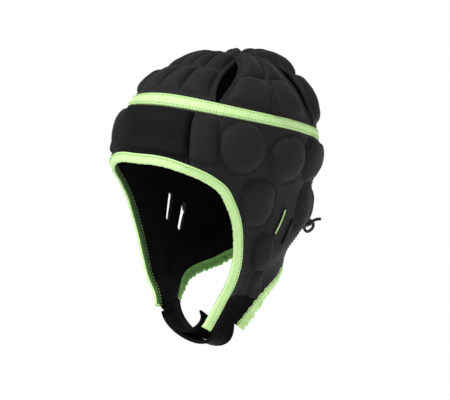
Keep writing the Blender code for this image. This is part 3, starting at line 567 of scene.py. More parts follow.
def tape_cloth(name, colour, shade):
    """Ribbed elastic tape."""
    made, tree, shader = new_material(name, colour, 0.7)
    place = add_node(tree, "ShaderNodeUVMap", uv_map="cloth")
    wave = add_node(tree, "ShaderNodeTexWave", wave_type="BANDS", bands_direction="X")
    wave.inputs["Scale"].default_value = 2 * math.pi / 20 / RIB
    wave.inputs["Distortion"].default_value = 0.4
    tree.links.new(place.outputs[0], wave.inputs[0])
    uneven = mottle(tree, 120.0)
    ribs = mixed(tree, wave.outputs["Fac"], 0.35, uneven)
    tree.links.new(ramp(tree, ribs, ((0.15, shade), (0.6, colour))), shader.inputs["Base Color"])
    varied_roughness(tree, shader, uneven, 0.6, 0.8)
    below = bump(tree, shader, uneven, 0.0003, 0.5)
    bump(tree, shader, wave.outputs["Fac"], 0.00012, 0.7, under=below)
    shader.inputs["Sheen Weight"].default_value = 0.15
    return made


def braided_cord(name, dark, light):
    made, tree, shader = new_material(name, light, 0.55)
    place = add_node(tree, "ShaderNodeTexCoord")
    wave = add_node(tree, "ShaderNodeTexWave", wave_type="BANDS", bands_direction="DIAGONAL")
    wave.inputs["Scale"].default_value = 260.0
    wave.inputs["Distortion"].default_value = 2.0
    tree.links.new(place.outputs["Object"], wave.inputs[0])
    colour = ramp(tree, wave.outputs["Fac"], ((0.2, dark), (0.8, light)))
    tree.links.new(colour, shader.inputs["Base Color"])
    bump(tree, shader, wave.outputs["Fac"], 0.0003, 0.7)
    return made


def make_materials():
    return {
        "cloth": mesh_cloth(
            "mesh_cloth", (0.006, 0.006, 0.0062), (0.0185, 0.0185, 0.0192),
            roughness=0.75, period=WEAVE, depth=0.0002,
        ),
        "brow": mesh_cloth(
            "smooth_cloth", (0.004, 0.004, 0.0042), (0.0065, 0.0065, 0.0068),
            roughness=0.7, period=WEAVE / 2, depth=0.0001, gloss=0.09,
        ),
        "lining": mesh_cloth(
            "lining", (0.004, 0.004, 0.004), (0.009, 0.009, 0.0092),
            roughness=0.9, period=WEAVE / 1.5, depth=0.0001, gloss=0.06,
        ),
        "tape": tape_cloth("lime_tape", (0.70, 0.98, 0.46), (0.46, 0.80, 0.24)),
        # The next two finishes are the lime tape painted darker green: painted shade for the tape's
        # inner sides, since the real tape is lime all round.
        "face_tape_painted_shade": tape_cloth("face_tape_painted_shade", (0.05, 0.17, 0.018), (0.008, 0.032, 0.004)),
        "neck_tape_painted_shade": tape_cloth("neck_tape_painted_shade", (0.30, 0.66, 0.16), (0.08, 0.24, 0.04)),
        "strap": mesh_cloth(
            "strap_cloth", (0.003, 0.003, 0.003), (0.007, 0.007, 0.0073),
            roughness=0.8, period=WEAVE / 2, depth=0.0001, gloss=0.05,
        ),
        "thread": braided_cord("thread", (0.02, 0.02, 0.021), (0.055, 0.055, 0.058)),
        "lime_thread": braided_cord("lime_thread", (0.30, 0.55, 0.15), (0.40, 0.68, 0.22)),
        "cord": braided_cord("lace_cord", (0.005, 0.005, 0.005), (0.016, 0.016, 0.017)),
    }


# Meshes


def make_piece(name, vertices, faces, uvs, face_slots, finishes):
    """A shown piece with UVs in metres along the cloth, riding on the cap."""
    vertices = np.asarray(vertices, float) - SEAT
    mesh = bpy.data.meshes.new(name)
    mesh.from_pydata(vertices.tolist(), [], faces)
    for finish in finishes:
        mesh.materials.append(finish)
    mesh.polygons.foreach_set("material_index", np.asarray(face_slots, dtype=np.int32))
    layer = mesh.uv_layers.new(name="cloth")
    corners = np.empty(len(mesh.loops), dtype=np.int32)
    mesh.loops.foreach_get("vertex_index", corners)
    layer.data.foreach_set("uv", np.asarray(uvs, np.float32)[corners].ravel())
    mesh.update()
    work = bmesh.new()
    work.from_mesh(mesh)
    bmesh.ops.recalc_face_normals(work, faces=work.faces)
    work.to_mesh(mesh)
    work.free()
    mesh.shade_smooth()
    piece = add_object(name, mesh)
    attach(piece, "root")
    return piece


def cloth_places(points):
    """Distances along the rows and columns of a grid, for the weave."""
    across = np.linalg.norm(np.diff(points, axis=1), axis=-1)
    down = np.linalg.norm(np.diff(points, axis=0), axis=-1)
    u = np.concatenate([np.zeros((len(points), 1)), np.cumsum(across, axis=1)], axis=1)
    u -= u[:, -1:] / 2
    v = np.concatenate([np.zeros((1, points.shape[1])), np.cumsum(down, axis=0)])
    return np.stack([u, v], axis=-1)


def grid_faces(rows, columns, closed):
    """Quads of an outer and an inner grid and of their rims, with a slot for each."""
    count = rows * columns
    index = np.arange(count).reshape(rows, columns)
    ahead = np.roll(index, -1, axis=1)
    wide = columns if closed else columns - 1
    a, b = index[:-1, :wide], ahead[:-1, :wide]
    d, c = index[1:, :wide], ahead[1:, :wide]
    outer = np.stack([a, b, c, d], axis=-1).reshape(-1, 4)
    inner = np.stack([d, c, b, a], axis=-1).reshape(-1, 4) + count
    rims = []
    low, low_next = index[0, :wide], ahead[0, :wide]
    high, high_next = index[-1, :wide], ahead[-1, :wide]
    rims.append(np.stack([low, low + count, low_next + count, low_next], axis=-1))
    rims.append(np.stack([high_next, high_next + count, high + count, high], axis=-1))
    if not closed:
        left, left_next = index[:-1, 0], index[1:, 0]
        right, right_next = index[:-1, -1], index[1:, -1]
        rims.append(np.stack([left, left_next, left_next + count, left + count], axis=-1))
        rims.append(np.stack([right_next, right, right + count, right_next + count], axis=-1))
    rim = np.concatenate(rims)
    faces = np.concatenate([outer, inner, rim])
    slots = np.concatenate([np.zeros(len(outer)), np.ones(len(inner)), np.zeros(len(rim))])
    return faces.tolist(), slots


def two_faced(outer, inner, middle):
    """Vertices, UVs, faces and slots of a wall between an outer and an inner grid."""
    places = cloth_places(middle).reshape(-1, 2)
    faces, slots = grid_faces(*middle.shape[:2], closed=False)
    vertices = np.concatenate([outer.reshape(-1, 3), inner.reshape(-1, 3)])
    return vertices, np.concatenate([places, places]), faces, slots


def wall(name, turn, level, rise, thin, finish, materials, patch=None):
    """Cloth wall over a grid of places: pads outward, a plain lining inside, rounded rims.

    The outer faces where a patch is set take the strap's cloth.
    """
    point = outline(turn, level)
    normal = outward(turn, level)
    middle = wall_middle(turn, level)
    half = CLOTH / 2 * thin
    outer = point + normal * (middle + half + rise)[..., None]
    inner = point + normal * (middle - half)[..., None]
    vertices, uvs, faces, slots = two_faced(outer, inner, point)
    finishes = (materials[finish], materials["lining"], materials["strap"])
    if patch is not None:
        cells = patch[:-1, :-1].ravel()
        slots[: len(cells)] = np.where(cells, 2, 0)
    return make_piece(name, vertices, faces, uvs, slots, finishes)


def rounded(distance, radius=RIM_RADIUS):
    """Thickness share near a free edge, so that its rim is round."""
    inside = np.clip(1 - distance / radius, 0.0, 1.0)
    return np.maximum(np.sqrt(1 - inside**2), 0.12)


def rim_thickness(point):
    """Thickness share over a panel's grid, rounded along both sides and the top."""
    across = np.linalg.norm(np.diff(point, axis=1, prepend=point[:, :1]), axis=-1)
    down = np.linalg.norm(np.diff(point, axis=0, prepend=point[:1]), axis=-1)
    from_left = np.cumsum(across, axis=1)
    from_right = from_left[:, -1:] - from_left
    return rounded(np.minimum(np.minimum(from_left, from_right), np.cumsum(down, axis=0)))


def wrinkles(turn, height, amount, seed):
    """Slight unevenness of stretched cloth, as a sum of waves."""
    chance = np.random.default_rng(seed)
    total = np.zeros(np.shape(turn))
    place = unrolled(turn, height)
    for scale in WRINKLE_SCALES:
        for _ in range(3):
            heading = chance.uniform(0, math.pi)
            phase = chance.uniform(0, 2 * math.pi)
            run = place[..., 0] * math.cos(heading) + place[..., 1] * math.sin(heading)
            total += scale / WRINKLE_SCALES[0] * np.sin(2 * math.pi * run / scale + phase)
    return amount * total / 3.0


def pad_rise(turn, level, pads):
    """Height of the nearest pad over the wall: flat tops, round shoulders, a groove round each."""
    rise = np.zeros(np.shape(turn))
    height = height_of(level)
    for pad in pads:
        for turn_sign in (1.0, -1.0):
            away = (np.asarray(turn) - turn_sign * pad["turn"] + 180.0) % 360.0 - 180.0
            across = np.radians(away) * MEAN_RADIUS / (pad["width"] * PAD_SIZE)
            up = (height + pad["drop"] * CHEEK_DEPTH) / (pad["height"] * PAD_SIZE)
            power = pad["power"]
            reach = (np.abs(across) ** power + np.abs(up) ** power) ** (1 / power)
            if power < 5:
                reach = reach * (1 + FACET * np.cos(FACETS * np.arctan2(up, across) + pad["turn"]))
            dome = np.clip(1 - (reach / PAD_EDGE) ** PAD_FALL, 0.0, 1.0) ** PAD_SHOULDER
            shape = pad["rise"] * PAD_PUFF * (dome + bead(reach, *PAD_GROOVE))
            rise = np.where(np.abs(shape) > np.abs(rise), shape, rise)
    return rise


def edge_distance(turn, level):
    height = height_of(level)
    return np.minimum(distance_to(face_line, turn, height), distance_to(neck_line, turn, height))


def edge_fade(turn, level):
    """Pads die away before the bound edges and the band."""
    height = height_of(level)
    below_band = band_height(turn) - BAND_WIDTH - height
    hem, slope = EDGE_FADE
    band_hem, band_slope = BAND_FADE
    fade = smooth_step((edge_distance(turn, level) - BINDING_WIDTH / 2 - hem) / slope)
    return fade * smooth_step((below_band - band_hem) / band_slope)


def slit_bead(turn, level, side):
    """Stitched border that stands up round each ear slit."""
    height = height_of(level)
    place = unrolled(round_turn(turn), height)
    raised = np.zeros(np.shape(turn))
    shift = SLIT_SHIFTS[side]
    for slit in EAR_SLITS:
        start = unrolled(slit["top_turn"] + shift, -slit["top_drop"] * CHEEK_DEPTH)
        end = unrolled(slit["low_turn"] + shift, -slit["low_drop"] * CHEEK_DEPTH)
        way = end - start
        along = np.clip(((place - start) @ way) / (way @ way), 0.0, 1.0)
        away = np.linalg.norm(place - (start + along[..., None] * way), axis=-1)
        raised += bead(away, *SLIT_BEAD)
    return raised


def puff(share, pads):
    """Height share of a row of stuffed pads: domed tops between narrow dark grooves."""
    local = np.clip(share, 0.0, 1.0) * pads
    local = local - np.floor(np.clip(local, 0.0, pads - 1e-9))
    away = np.abs(2 * local - 1)
    return np.clip(1 - away**ROW_FALL, 0.0, 1.0) ** ROW_SHOULDER


def vent_turn(turn, climb):
    """Turn of a crown seam on its way up."""
    lean = VENT_LEAN if abs(turn) < 90 else 0.0
    return turn + math.copysign(lean, turn) * climb**1.5


def vent_half_width(turn, climb):
    """Half width of the vent in a crown seam, shut at the band and at its top."""
    width = FRONT_VENT_WIDTH if abs(turn) < 90 or abs(turn) > 270 else REAR_VENT_WIDTH
    along = np.clip(climb / VENT_TOP, 0.0, 1.0)
    return GAP / 2 + width / 2 * np.clip(np.sin(np.pi * along), 0.0, 1.0) ** 0.8


def split_rows(share, split):
    """Rows of two pads whose groove lies at a split, as if it lay in the middle."""
    return np.interp(share, (0.0, split, 1.0), (0.0, 0.5, 1.0))


def crown_level(turn, climb):
    base = level_of(band_height(turn) + GAP)
    return base + (TIP_LEVEL - base) * climb


def rear_slope(first, last, share, width):
    """Share of their height that the side pads keep on their way down to the rear vents."""
    if not 90 < abs(first + last) < 270:
        return 1.0
    from_rear = (1 - share if first + last > 0 else share) * width
    return smooth_step(from_rear / REAR_VENT_SLOPE)


def crown_panel(name, first, last, pads, split, ridge, materials):
    """Panel of the crown between two vents, from the band to a tip at the top."""
    low, high = CROWN_ROWS
    columns = np.linspace(0.0, 1.0, int((last - first) * 1.1) + 12)
    columns = np.concatenate([[0.0, 0.004, 0.010], columns[1:-1], [0.990, 0.996, 1.0]])
    rows = np.concatenate([np.linspace(0.0, 0.985, 76), [0.993, 1.0]])
    share, climb = np.meshgrid(columns, rows)
    start, end = vent_turn(first, climb), vent_turn(last, climb)
    middle = (start + end) / 2
    turn = start + (end - start) * share
    level = crown_level(turn, climb)
    degree = np.linalg.norm(outline(turn + 0.5, level) - outline(turn - 0.5, level), axis=-1)
    reach = degree * (end - start) / 2
    lens = np.where(share < 0.5, vent_half_width(first, climb), vent_half_width(last, climb))
    kept = 1 - np.minimum(lens / reach, 0.9)
    turn = middle + (turn - middle) * kept
    level = crown_level(turn, climb)
    pad_share = (share - CROWN_HEM) / (1 - 2 * CROWN_HEM)
    row_share = split_rows((climb - low) / (high - low), split)
    rise = PAD_PUFF * puff(pad_share, pads) * puff(row_share, 2)
    rise *= smooth_step(reach * kept / TIP_REACH) * rear_slope(first, last, share, 2 * reach * kept)
    from_side = np.minimum(share, 1 - share) * 2 * reach * kept
    from_band = climb * (math.pi / 2) * CROWN_HEIGHT
    rise += bead(from_side, *HEM_BEAD) * (lens > 0.0005)
    if ridge:
        ridge_end, ridge_slope = RIDGE_END
        off_middle = np.abs(share - 0.5) * 2 * reach * kept
        rise += bead(off_middle, *CROWN_RIDGE) * smooth_step((ridge_end - climb) / ridge_slope)
    rise += wrinkles(turn, height_of(level), CROWN_WRINKLE, 3) * smooth_step(from_band / 0.01)
    thin = rounded(np.minimum(from_side, from_band))
    return wall(name, turn, level, rise, thin, "cloth", materials)


def side_grid(side):
    """Turns and levels over a side panel."""
    rows, columns = (int(size / CELL) for size in SIDE_PANEL_SIZE)
    down = np.linspace(0.0, 1.0, rows + 1)
    even = np.linspace(0.0, 1.0, columns + 1)
    seam_half = -np.degrees(SEAM_LAP / MEAN_RADIUS)
    band_gap = BAND_WIDTH + GAP
    sides = []
    for line, seam_turn, share, end, part in (
        (face_line, BROW_TURN + seam_half, BROW_SHARE, FACE_ENDS[side], 0.27),
        (neck_line, REAR_TURN - seam_half, REAR_SHARE, NECK_ENDS[side], 0.56),
    ):
        top = band_height(seam_turn) - band_gap
        corner = inset_height(line, seam_turn)
        past = np.clip((down - part) / (1 - part), 0.0, 1.0)
        edge_turn, edge_level = inset_place(line, share + (end - share) * past, 1.0, UNDER_TAPE)
        on_seam = down <= part
        turn = np.where(on_seam, seam_turn, edge_turn)
        height = np.where(on_seam, top + (corner - top) * down / part, height_of(edge_level))
        sides.append((turn, height))
    (front_turn, front_height), (rear_turn, rear_height) = sides
    down = down[:, None]
    turn = front_turn[:, None] * (1 - even) + rear_turn[:, None] * even
    height = front_height[:, None] * (1 - even) + rear_height[:, None] * even
    height = height + (band_height(turn[:1]) - band_gap - height[:1]) * (1 - down) ** 2
    strap_turn, strap_height = strap_seam(even, side)
    blend = np.clip((down - 0.8) / 0.2, 0.0, 1.0) ** 2
    turn = turn + (strap_turn - turn[-1:]) * blend
    height = height + (strap_height + GAP - height[-1:]) * blend
    return turn, level_of(height)


def strap_seam(share, side):
    """Line between a side panel and the chin strap, from the face to the neck."""
    face = inset_place(face_line, np.array([FACE_ENDS[side]]), 1.0)
    neck = inset_place(neck_line, np.array([NECK_ENDS[side]]), 1.0)
    turn = face[0] + (neck[0] - face[0]) * share
    height = height_of(face[1]) + (height_of(neck[1]) - height_of(face[1])) * share
    return turn, height


def strap_foot(turn, level, side):
    """Distance below the upper border of the strap's end, sewn over the foot of a side panel."""
    height = height_of(level)
    foot = float(strap_seam(np.array([0.5]), side)[1][0])
    return foot + STRAP_LAP + STRAP_LAP_SLOPE * (round_turn(turn) - 55.0) / 30.0 - height


def jaw_folds(turn, height):
    """Soft upright folds where the panel narrows to the strap."""
    low = smooth_step((-height / CHEEK_DEPTH - 0.70) / 0.25)
    across = np.radians(turn) * MEAN_RADIUS
    phase = across * 2 * math.pi / JAW_FOLD_PERIOD + height * JAW_FOLD_SLANT
    return JAW_FOLD * low * np.sin(phase)


def seam_folds(turn, level):
    """Two narrow upright folds of cloth behind the brow seam."""
    across = np.radians(turn - BROW_TURN) * MEAN_RADIUS
    fold = sum(bead(across, *place) for place in SEAM_FOLDS)
    return SEAM_FOLD_RISE * fold * edge_fade(turn, level)


def side_panel(name, side, materials):
    """Panel from the brow seam round the ear to the rear seam, and down to the chin strap."""
    turn, level = side_grid(side)
    height = height_of(level)
    rise = pad_rise(turn, level, SIDE_PADS) * edge_fade(turn, level)
    rise += slit_bead(turn, level, side) + jaw_folds(turn, height) + seam_folds(turn, level)
    from_edge = edge_distance(turn, level)
    uneven = wrinkles(turn, height, PANEL_WRINKLE, 5 if side > 0 else 6)
    rise += uneven * smooth_step(from_edge / 0.012)
    thin = rim_thickness(outline(turn, level))
    below = np.broadcast_to(strap_foot(turn, level, side).mean(axis=1, keepdims=True), turn.shape)
    lap_slope, lap_side = STRAP_LAP_EDGE
    lap = STRAP_LAP_RISE * smooth_step(below / lap_slope)
    rise += lap * smooth_step((from_edge - BINDING_WIDTH / 2) / lap_side)
    grids = (turn * side, level, rise, thin, below > 0)
    turn, level, rise, thin, patch = (grid[:, :: int(side)] for grid in grids)
    panel = wall(name, turn, level, rise, thin, "cloth", materials, patch)
    for number, slit in enumerate(EAR_SLITS, start=1):
        ends = np.array([[slit[f"{end}_turn"], slit[f"{end}_drop"]] for end in ("top", "low")])
        ends[:, 0] += SLIT_SHIFTS[side]
        cut_slot(panel, f"{name}_cutter_{number}", ends, side, SLIT_LENGTH, SLIT_WIDTH)
    return panel


def slot_solid(name, length, width, depth):
    """Closed prism with round ends, along X, through Z."""
    ends = 8
    corners = []
    for way in (1.0, -1.0):
        for part in range(ends + 1):
            angle = math.pi * (part / ends - 0.5) + (0.0 if way > 0 else math.pi)
            x = way * (length - width) / 2 + width / 2 * math.cos(angle)
            corners.append((x, width / 2 * math.sin(angle)))
    count = len(corners)
    vertices = [(x, y, z) for z in (-depth / 2, depth / 2) for x, y in corners]
    faces = [tuple(range(count))[::-1], tuple(range(count, 2 * count))]
    for c in range(count):
        d = (c + 1) % count
        faces.append((c, d, d + count, c + count))
    mesh = bpy.data.meshes.new(name)
    mesh.from_pydata(vertices, [], faces)
    return add_object(name, mesh)


def cut_slot(panel, name, ends, side, length, width):
    """Cuts a slot through a panel between two places, each a turn and a share of depth."""
    places = [outline(turn * side, -drop) for turn, drop in ends]
    middle = (places[0] + places[1]) / 2
    normal = outward(ends[:, 0].mean() * side, -ends[:, 1].mean())
    along = unit(places[1] - places[0])
    across = unit(np.cross(normal, along))
    along = np.cross(across, normal)
    place = middle - SEAT
    cutter = slot_solid(name, length, width, 0.04)
    cutter.matrix_world = Matrix((*zip(along, across, normal, place), (0.0, 0.0, 0.0, 1.0)))
    bpy.context.view_layer.update()
    cut = panel.modifiers.new(name, "BOOLEAN")
    cut.operation = "DIFFERENCE"
    cut.solver = "EXACT"
    cut.object = cutter
    graph = bpy.context.evaluated_depsgraph_get()
    result = bpy.data.meshes.new_from_object(panel.evaluated_get(graph))
    panel.modifiers.clear()
    old = panel.data
    panel.data = result
    bpy.data.meshes.remove(old)
    bpy.data.objects.remove(cutter, do_unlink=True)


def hanging_grid(line, last_share, seam_turn):
    """Turns and levels over a panel between the band and an edge."""
    seam_half = -np.degrees(SEAM_LAP / MEAN_RADIUS)
    centre = 0.0 if line is face_line else 180.0
    shares = np.linspace(0.0, last_share, int(HANGING_WIDTH / CELL))
    low_turn, low_level = inset_place(line, shares, 1.0, UNDER_TAPE)
    low_turn[-1] = seam_turn - seam_half if centre == 0.0 else seam_turn + seam_half
    low_level[-1] = level_of(inset_height(line, low_turn[-1]))
    low_turn[0] = centre
    turns = np.concatenate([2 * centre - low_turn[:0:-1], low_turn])
    lows = np.concatenate([height_of(low_level)[:0:-1], height_of(low_level)])
    if centre == 180.0:
        turns, lows = turns[::-1], lows[::-1]
    rows = int((BROW_DEPTH if centre == 0.0 else BACK_DEPTH) / CELL)
    down = np.linspace(0.0, 1.0, rows + 1)[:, None]
    top = band_height(turns) - BAND_WIDTH - GAP
    height = top * (1 - down) + lows * down
    return np.broadcast_to(turns, height.shape), level_of(height)


def hanging_panel(name, line, share, seam_turn, rise_of, finish, materials):
    """Panel that hangs from the band to an edge, over the brow or the back of the head."""
    turn, level = hanging_grid(line, share, seam_turn)
    thin = rim_thickness(outline(turn, level))
    rise = rise_of(turn, level)
    return wall(name, turn, level, rise, thin, finish, materials)


def brow_rise(turn, level):
    """Plain padding over the whole brow panel, thin at its borders."""
    side = smooth_step((BROW_TURN - round_turn(turn)) / 4.0)
    rise = BROW_RISE * edge_fade(turn, level) * side
    return rise + wrinkles(turn, height_of(level), BROW_WRINKLE, 8) * side


def back_rise(turn, level):
    """Pads of the back panel, with a flat hem round the laced slot."""
    across = np.radians(round_turn(np.asarray(turn) - 180.0)) * MEAN_RADIUS
    up = height_of(level) + BACK_SLOT_DROP * CHEEK_DEPTH
    end_slope, side_slope = SLOT_FADE
    beside = smooth_step((BACK_SLOT_LENGTH / 2 + HEM_WIDTH + end_slope - np.abs(up)) / end_slope)
    hem = smooth_step((across - BACK_SLOT_WIDTH / 2 - HEM_WIDTH) / side_slope)
    fade = 1 - beside * (1 - hem)
    return pad_rise(turn, level, BACK_PADS) * edge_fade(turn, level) * fade


def back_shape(turn, level):
    return back_rise(turn, level) + wrinkles(turn, height_of(level), PANEL_WRINKLE, 9)


def sweep(name, rings, uv_along, closed, finishes, inner=()):
    """Skin over a row of section rings; the sides named as inner take the second finish."""
    count, sides = rings.shape[:2]
    index = np.arange(count * sides).reshape(count, sides)
    after = np.roll(index, -1, axis=1)
    ahead = np.roll(index, -1, axis=0)
    ahead_after = np.roll(after, -1, axis=0)
    length = count if closed else count - 1
    faces = np.stack([index, after, ahead_after, ahead], axis=-1)[:length].reshape(-1, 4).tolist()
    if not closed:
        faces.append(index[0, ::-1].tolist())
        faces.append(index[-1].tolist())
    run = np.linalg.norm(np.diff(rings[:1], axis=1, append=rings[:1, :1]), axis=-1)[0]
    around = np.concatenate([[0.0], np.cumsum(run)[:-1]])
    uvs = np.stack(np.broadcast_arrays(uv_along[:, None], around[None, :]), axis=-1)
    slots = np.zeros(len(faces))
    slots[: length * sides] = np.tile(np.isin(np.arange(sides), inner), length)
    vertices, uvs = rings.reshape(-1, 3), uvs.reshape(-1, 2)
    return make_piece(name, vertices, faces, uvs, slots, finishes)


def gathers(run, seed, amount, period):
    """Uneven ripples of gathered tape along its length."""
    chance = np.random.default_rng(seed)
    total = np.zeros(np.shape(run))
    for factor in (1.0, 1.37, 0.71, 2.3):
        phase = chance.uniform(0, 2 * math.pi)
        total += np.sin(2 * math.pi * run / (period * factor) + phase) / (1 + factor)
    return amount * total


def edge_frames(line, ends, count):
    """Frames along an edge from the right end of the strap to the left one."""
    right, left = (np.linspace(0.0, ends[side], count) for side in (-1.0, 1.0))
    both = [(share, -1.0) for share in right[::-1]] + [(share, 1.0) for share in left[1:]]
    frames = []
    for share, side in both:
        turn, level, point, normal, inward = station(line, share, side)
        offset = float(wall_middle(turn, level))
        frames.append((point + normal * offset, normal, inward))
    points, normals, inwards = (np.array(values) for values in zip(*frames))
    return points, normals, inwards, distance_along(points)


def cloth_drop(into):
    """How far the cloth's middle falls away from the binding's, into the panel."""
    return INSET * (1 - smooth_step(1 - np.clip(into, 0.0, None) / EDGE_REACH))


def binding(name, line, ends, count, gather, seed, materials):
    """Tape folded over the cloth's edge, with a lip on each face and gathers along it."""
    points, normals, inwards, run = edge_frames(line, ends, count)
    half = TAPE_HALF
    lip = BINDING_WIDTH / 2 - 0.0004
    inner = half - TAPE_LIP
    hem = lip - 0.0014
    bend = np.linspace(-math.pi / 2, math.pi / 2, 9)
    bulge = [(-BINDING_WIDTH / 2 + half - half * math.cos(a), half * math.sin(a)) for a in bend]
    upper = [(x, half) for x in np.linspace(-BINDING_WIDTH / 2 + half + 0.001, lip - 0.0004, 7)]
    tip = [(lip, half - TAPE_LIP / 2), (lip - 0.0003, inner), (hem, inner)]
    lower = [(x, -y) for x, y in (upper + tip)[::-1]]
    section = np.array(bulge + upper + tip + lower)
    fold = gathers(run, seed, gather, GATHER_PERIOD)
    swell = gathers(run, seed + 1, gather * 0.6, SWELL_PERIOD)
    rings = []
    for point, normal, inward, ripple, wide in zip(points, normals, inwards, fold, swell):
        b, n = section[:, 0], section[:, 1]
        free = smooth_step((hem - b) / 0.006)
        shifted = b + wide * free
        lifted = n * (1 + TAPE_PUFF * free) + np.sign(n) * np.abs(ripple) * free - cloth_drop(b)
        rings.append(point + inward * shifted[:, None] + normal * lifted[:, None])
    # The sides of the section that face into the cap take a darker green than the lime tape: painted
    # shade.
    painted_shade_finish = "face_tape_painted_shade" if line is face_line else "neck_tape_painted_shade"
    finishes = (materials["tape"], materials[painted_shade_finish])
    inside = [*range(len(bend) // 2), *range(len(section) - len(lower), len(section))]
    return sweep(name, np.array(rings), run, False, finishes, inside)


def crown_band(materials):
    """Tape round the head between the crown and the panels below, slightly puckered."""
    count = 360
    turns = np.arange(count) * 360.0 / count
    base = band_height(turns)
    half = BAND_THICKNESS / 2
    profile = [(up, half + BAND_BULGE * math.sin(math.pi * up)) for up in np.linspace(0.0, 1.0, 9)]
    profile += [(up, -half) for up in np.linspace(1.0, 0.0, 5)]
    share, stand = np.array(profile).T
    level = level_of(base[:, None] - BAND_WIDTH * (1 - share)[None, :])
    turn = np.broadcast_to(turns[:, None], level.shape)
    point = outline(turn, level)
    normal = outward(turn, level)
    run = distance_along(point[:, 0])
    pucker = gathers(run, 21, PUCKER, PUCKER_PERIOD)[:, None] * np.sin(math.pi * share)[None, :]
    offset = stand[None, :] + pucker - INSET
    rings = point + normal * offset[..., None]
    return sweep("band_tape", rings, run, True, (materials["tape"],))


def strap_places(share, side):
    """Points of the strap's seam with a side panel."""
    turn, height = strap_seam(share, side)
    level = level_of(height + SEAM_LAP)
    normal = outward(turn * side, level)
    return outline(turn * side, level) + normal * wall_middle(turn * side, level)[..., None]


def sleeve_place(along, share, inside=0.0):
    """Point of the strap's middle surface: along is -1 at the right jaw and 1 at the left."""
    right, left = strap_places(share, -1.0), strap_places(share, 1.0)
    angle = (1 - along) * math.pi / 2
    half = (left - right) / 2
    point = (left + right) / 2 + half * math.cos(angle)
    sag = STRAP_SAG + (STRAP_REAR_SAG - STRAP_SAG) * share
    point[..., 2] -= sag * abs(math.sin(angle)) ** STRAP_FULLNESS
    inward = unit(np.stack([-math.cos(angle) * sag, math.sin(angle) * half[..., 0]], axis=-1))
    point[..., 0] += inside * inward[..., 0]
    point[..., 2] += inside * inward[..., 1]
    return point


def tongue_place(along, share):
    """The tongue leaves the right jaw, hangs inside the sleeve and ends inside the left jaw."""
    clear, rise, top = TONGUE_STATIONS
    inside = TONGUE_SPACE * smooth_step((along + 1) / (clear + 1))
    point = sleeve_place(along, share, inside)
    lift = TONGUE_RISE * smooth_step((along - rise) / (top - rise))
    point[..., 2] += lift * (1 - TONGUE_TWIST * share)
    point[..., 0] -= TONGUE_INSET * smooth_step(along) ** 2
    return point


def strap(name, stations, place, materials):
    """Strap wall with a stitched bead along each edge."""
    share = np.concatenate([[0.0, 0.012, 0.03], np.linspace(0.05, 0.95, 29), [0.97, 0.988, 1.0]])
    middle = np.array([place(along, share) for along in stations])
    ahead = np.gradient(middle, axis=0)
    across = np.gradient(middle, axis=1)
    normal = unit(np.cross(across, ahead))
    width = np.linalg.norm(middle[:, -1] - middle[:, 0], axis=-1)[:, None]
    from_side = np.minimum(share, 1 - share)[None, :] * width
    half = STRAP_THICKNESS / 2 * rounded(from_side, STRAP_RIM_RADIUS)
    half = half + bead(from_side, *STRAP_BEAD) + bead(from_side, *STRAP_GROOVE)
    outer = middle + normal * half[..., None]
    inner = middle - normal * half[..., None]
    vertices, uvs, faces, slots = two_faced(outer, inner, middle)
    return make_piece(name, vertices, faces, uvs, slots * 0, (materials["strap"],))


def smooth_route(points, spacing):
    """Evenly spaced points on a smooth curve through a route's own points."""
    points = np.asarray(points, float)
    run = distance_along(points)
    fine = np.linspace(0.0, run[-1], 400)
    dense = np.stack([smooth_curve(run, points[:, axis], fine) for axis in range(3)], axis=-1)
    length = distance_along(dense)
    count = max(4, int(round(length[-1] / spacing)) + 1)
    return resampled(np.linspace(0.0, length[-1], count), length, dense)


def tube(name, points, diameter, finish):
    """Round cord through points, in the frame's own coordinates."""
    curve = bpy.data.curves.new(name, "CURVE")
    curve.dimensions = "3D"
    curve.bevel_depth = diameter / 2
    curve.bevel_resolution = 4
    curve.use_fill_caps = True
    spline = curve.splines.new("POLY")
    spline.points.add(len(points) - 1)
    for target, point in zip(spline.points, points):
        target.co = (*point, 1.0)
    curve.materials.append(finish)
    cord = add_object(name, curve)
    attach(cord, "root")
    return cord


def on_back(turn, level, stand):
    """Point that stands over the back panel's outer face, in the cap's own frame."""
    offset = wall_middle(turn, level) + CLOTH / 2 + back_rise(turn, level) + stand
    point = outline(turn, level) + outward(turn, level) * np.asarray(offset)[..., None]
    return point - SEAT


def tied_knot(centre, axes, materials):
    """A pulled-tight knot: one closed turn of cord wound three times through itself."""
    turns = np.linspace(0.0, 2 * math.pi, 120, endpoint=False)
    wind = KNOT_DIAMETER / 2 * KNOT_LOOSE - LACE_DIAMETER / 2
    mean, swing = KNOT_SPREAD
    spin = wind * (mean + swing * np.cos(3 * turns))
    lift = KNOT_LIFT * wind * np.sin(3 * turns)
    loops = np.stack([spin * np.cos(2 * turns), spin * np.sin(2 * turns), lift], axis=-1) @ axes
    ahead = unit(np.roll(loops, -1, axis=0) - np.roll(loops, 1, axis=0))
    side = unit(np.cross(ahead, loops))
    out = np.cross(side, ahead)
    angles = np.linspace(0.0, 2 * math.pi, 14, endpoint=False)[None, :, None]
    round_section = np.cos(angles) * side[:, None] + np.sin(angles) * out[:, None]
    rings = centre + loops[:, None] + LACE_DIAMETER / 2 * round_section
    run = np.arange(len(turns)) * LACE_DIAMETER / 4
    return sweep("lace_tied_knot", rings + SEAT, run, True, (materials["cord"],))


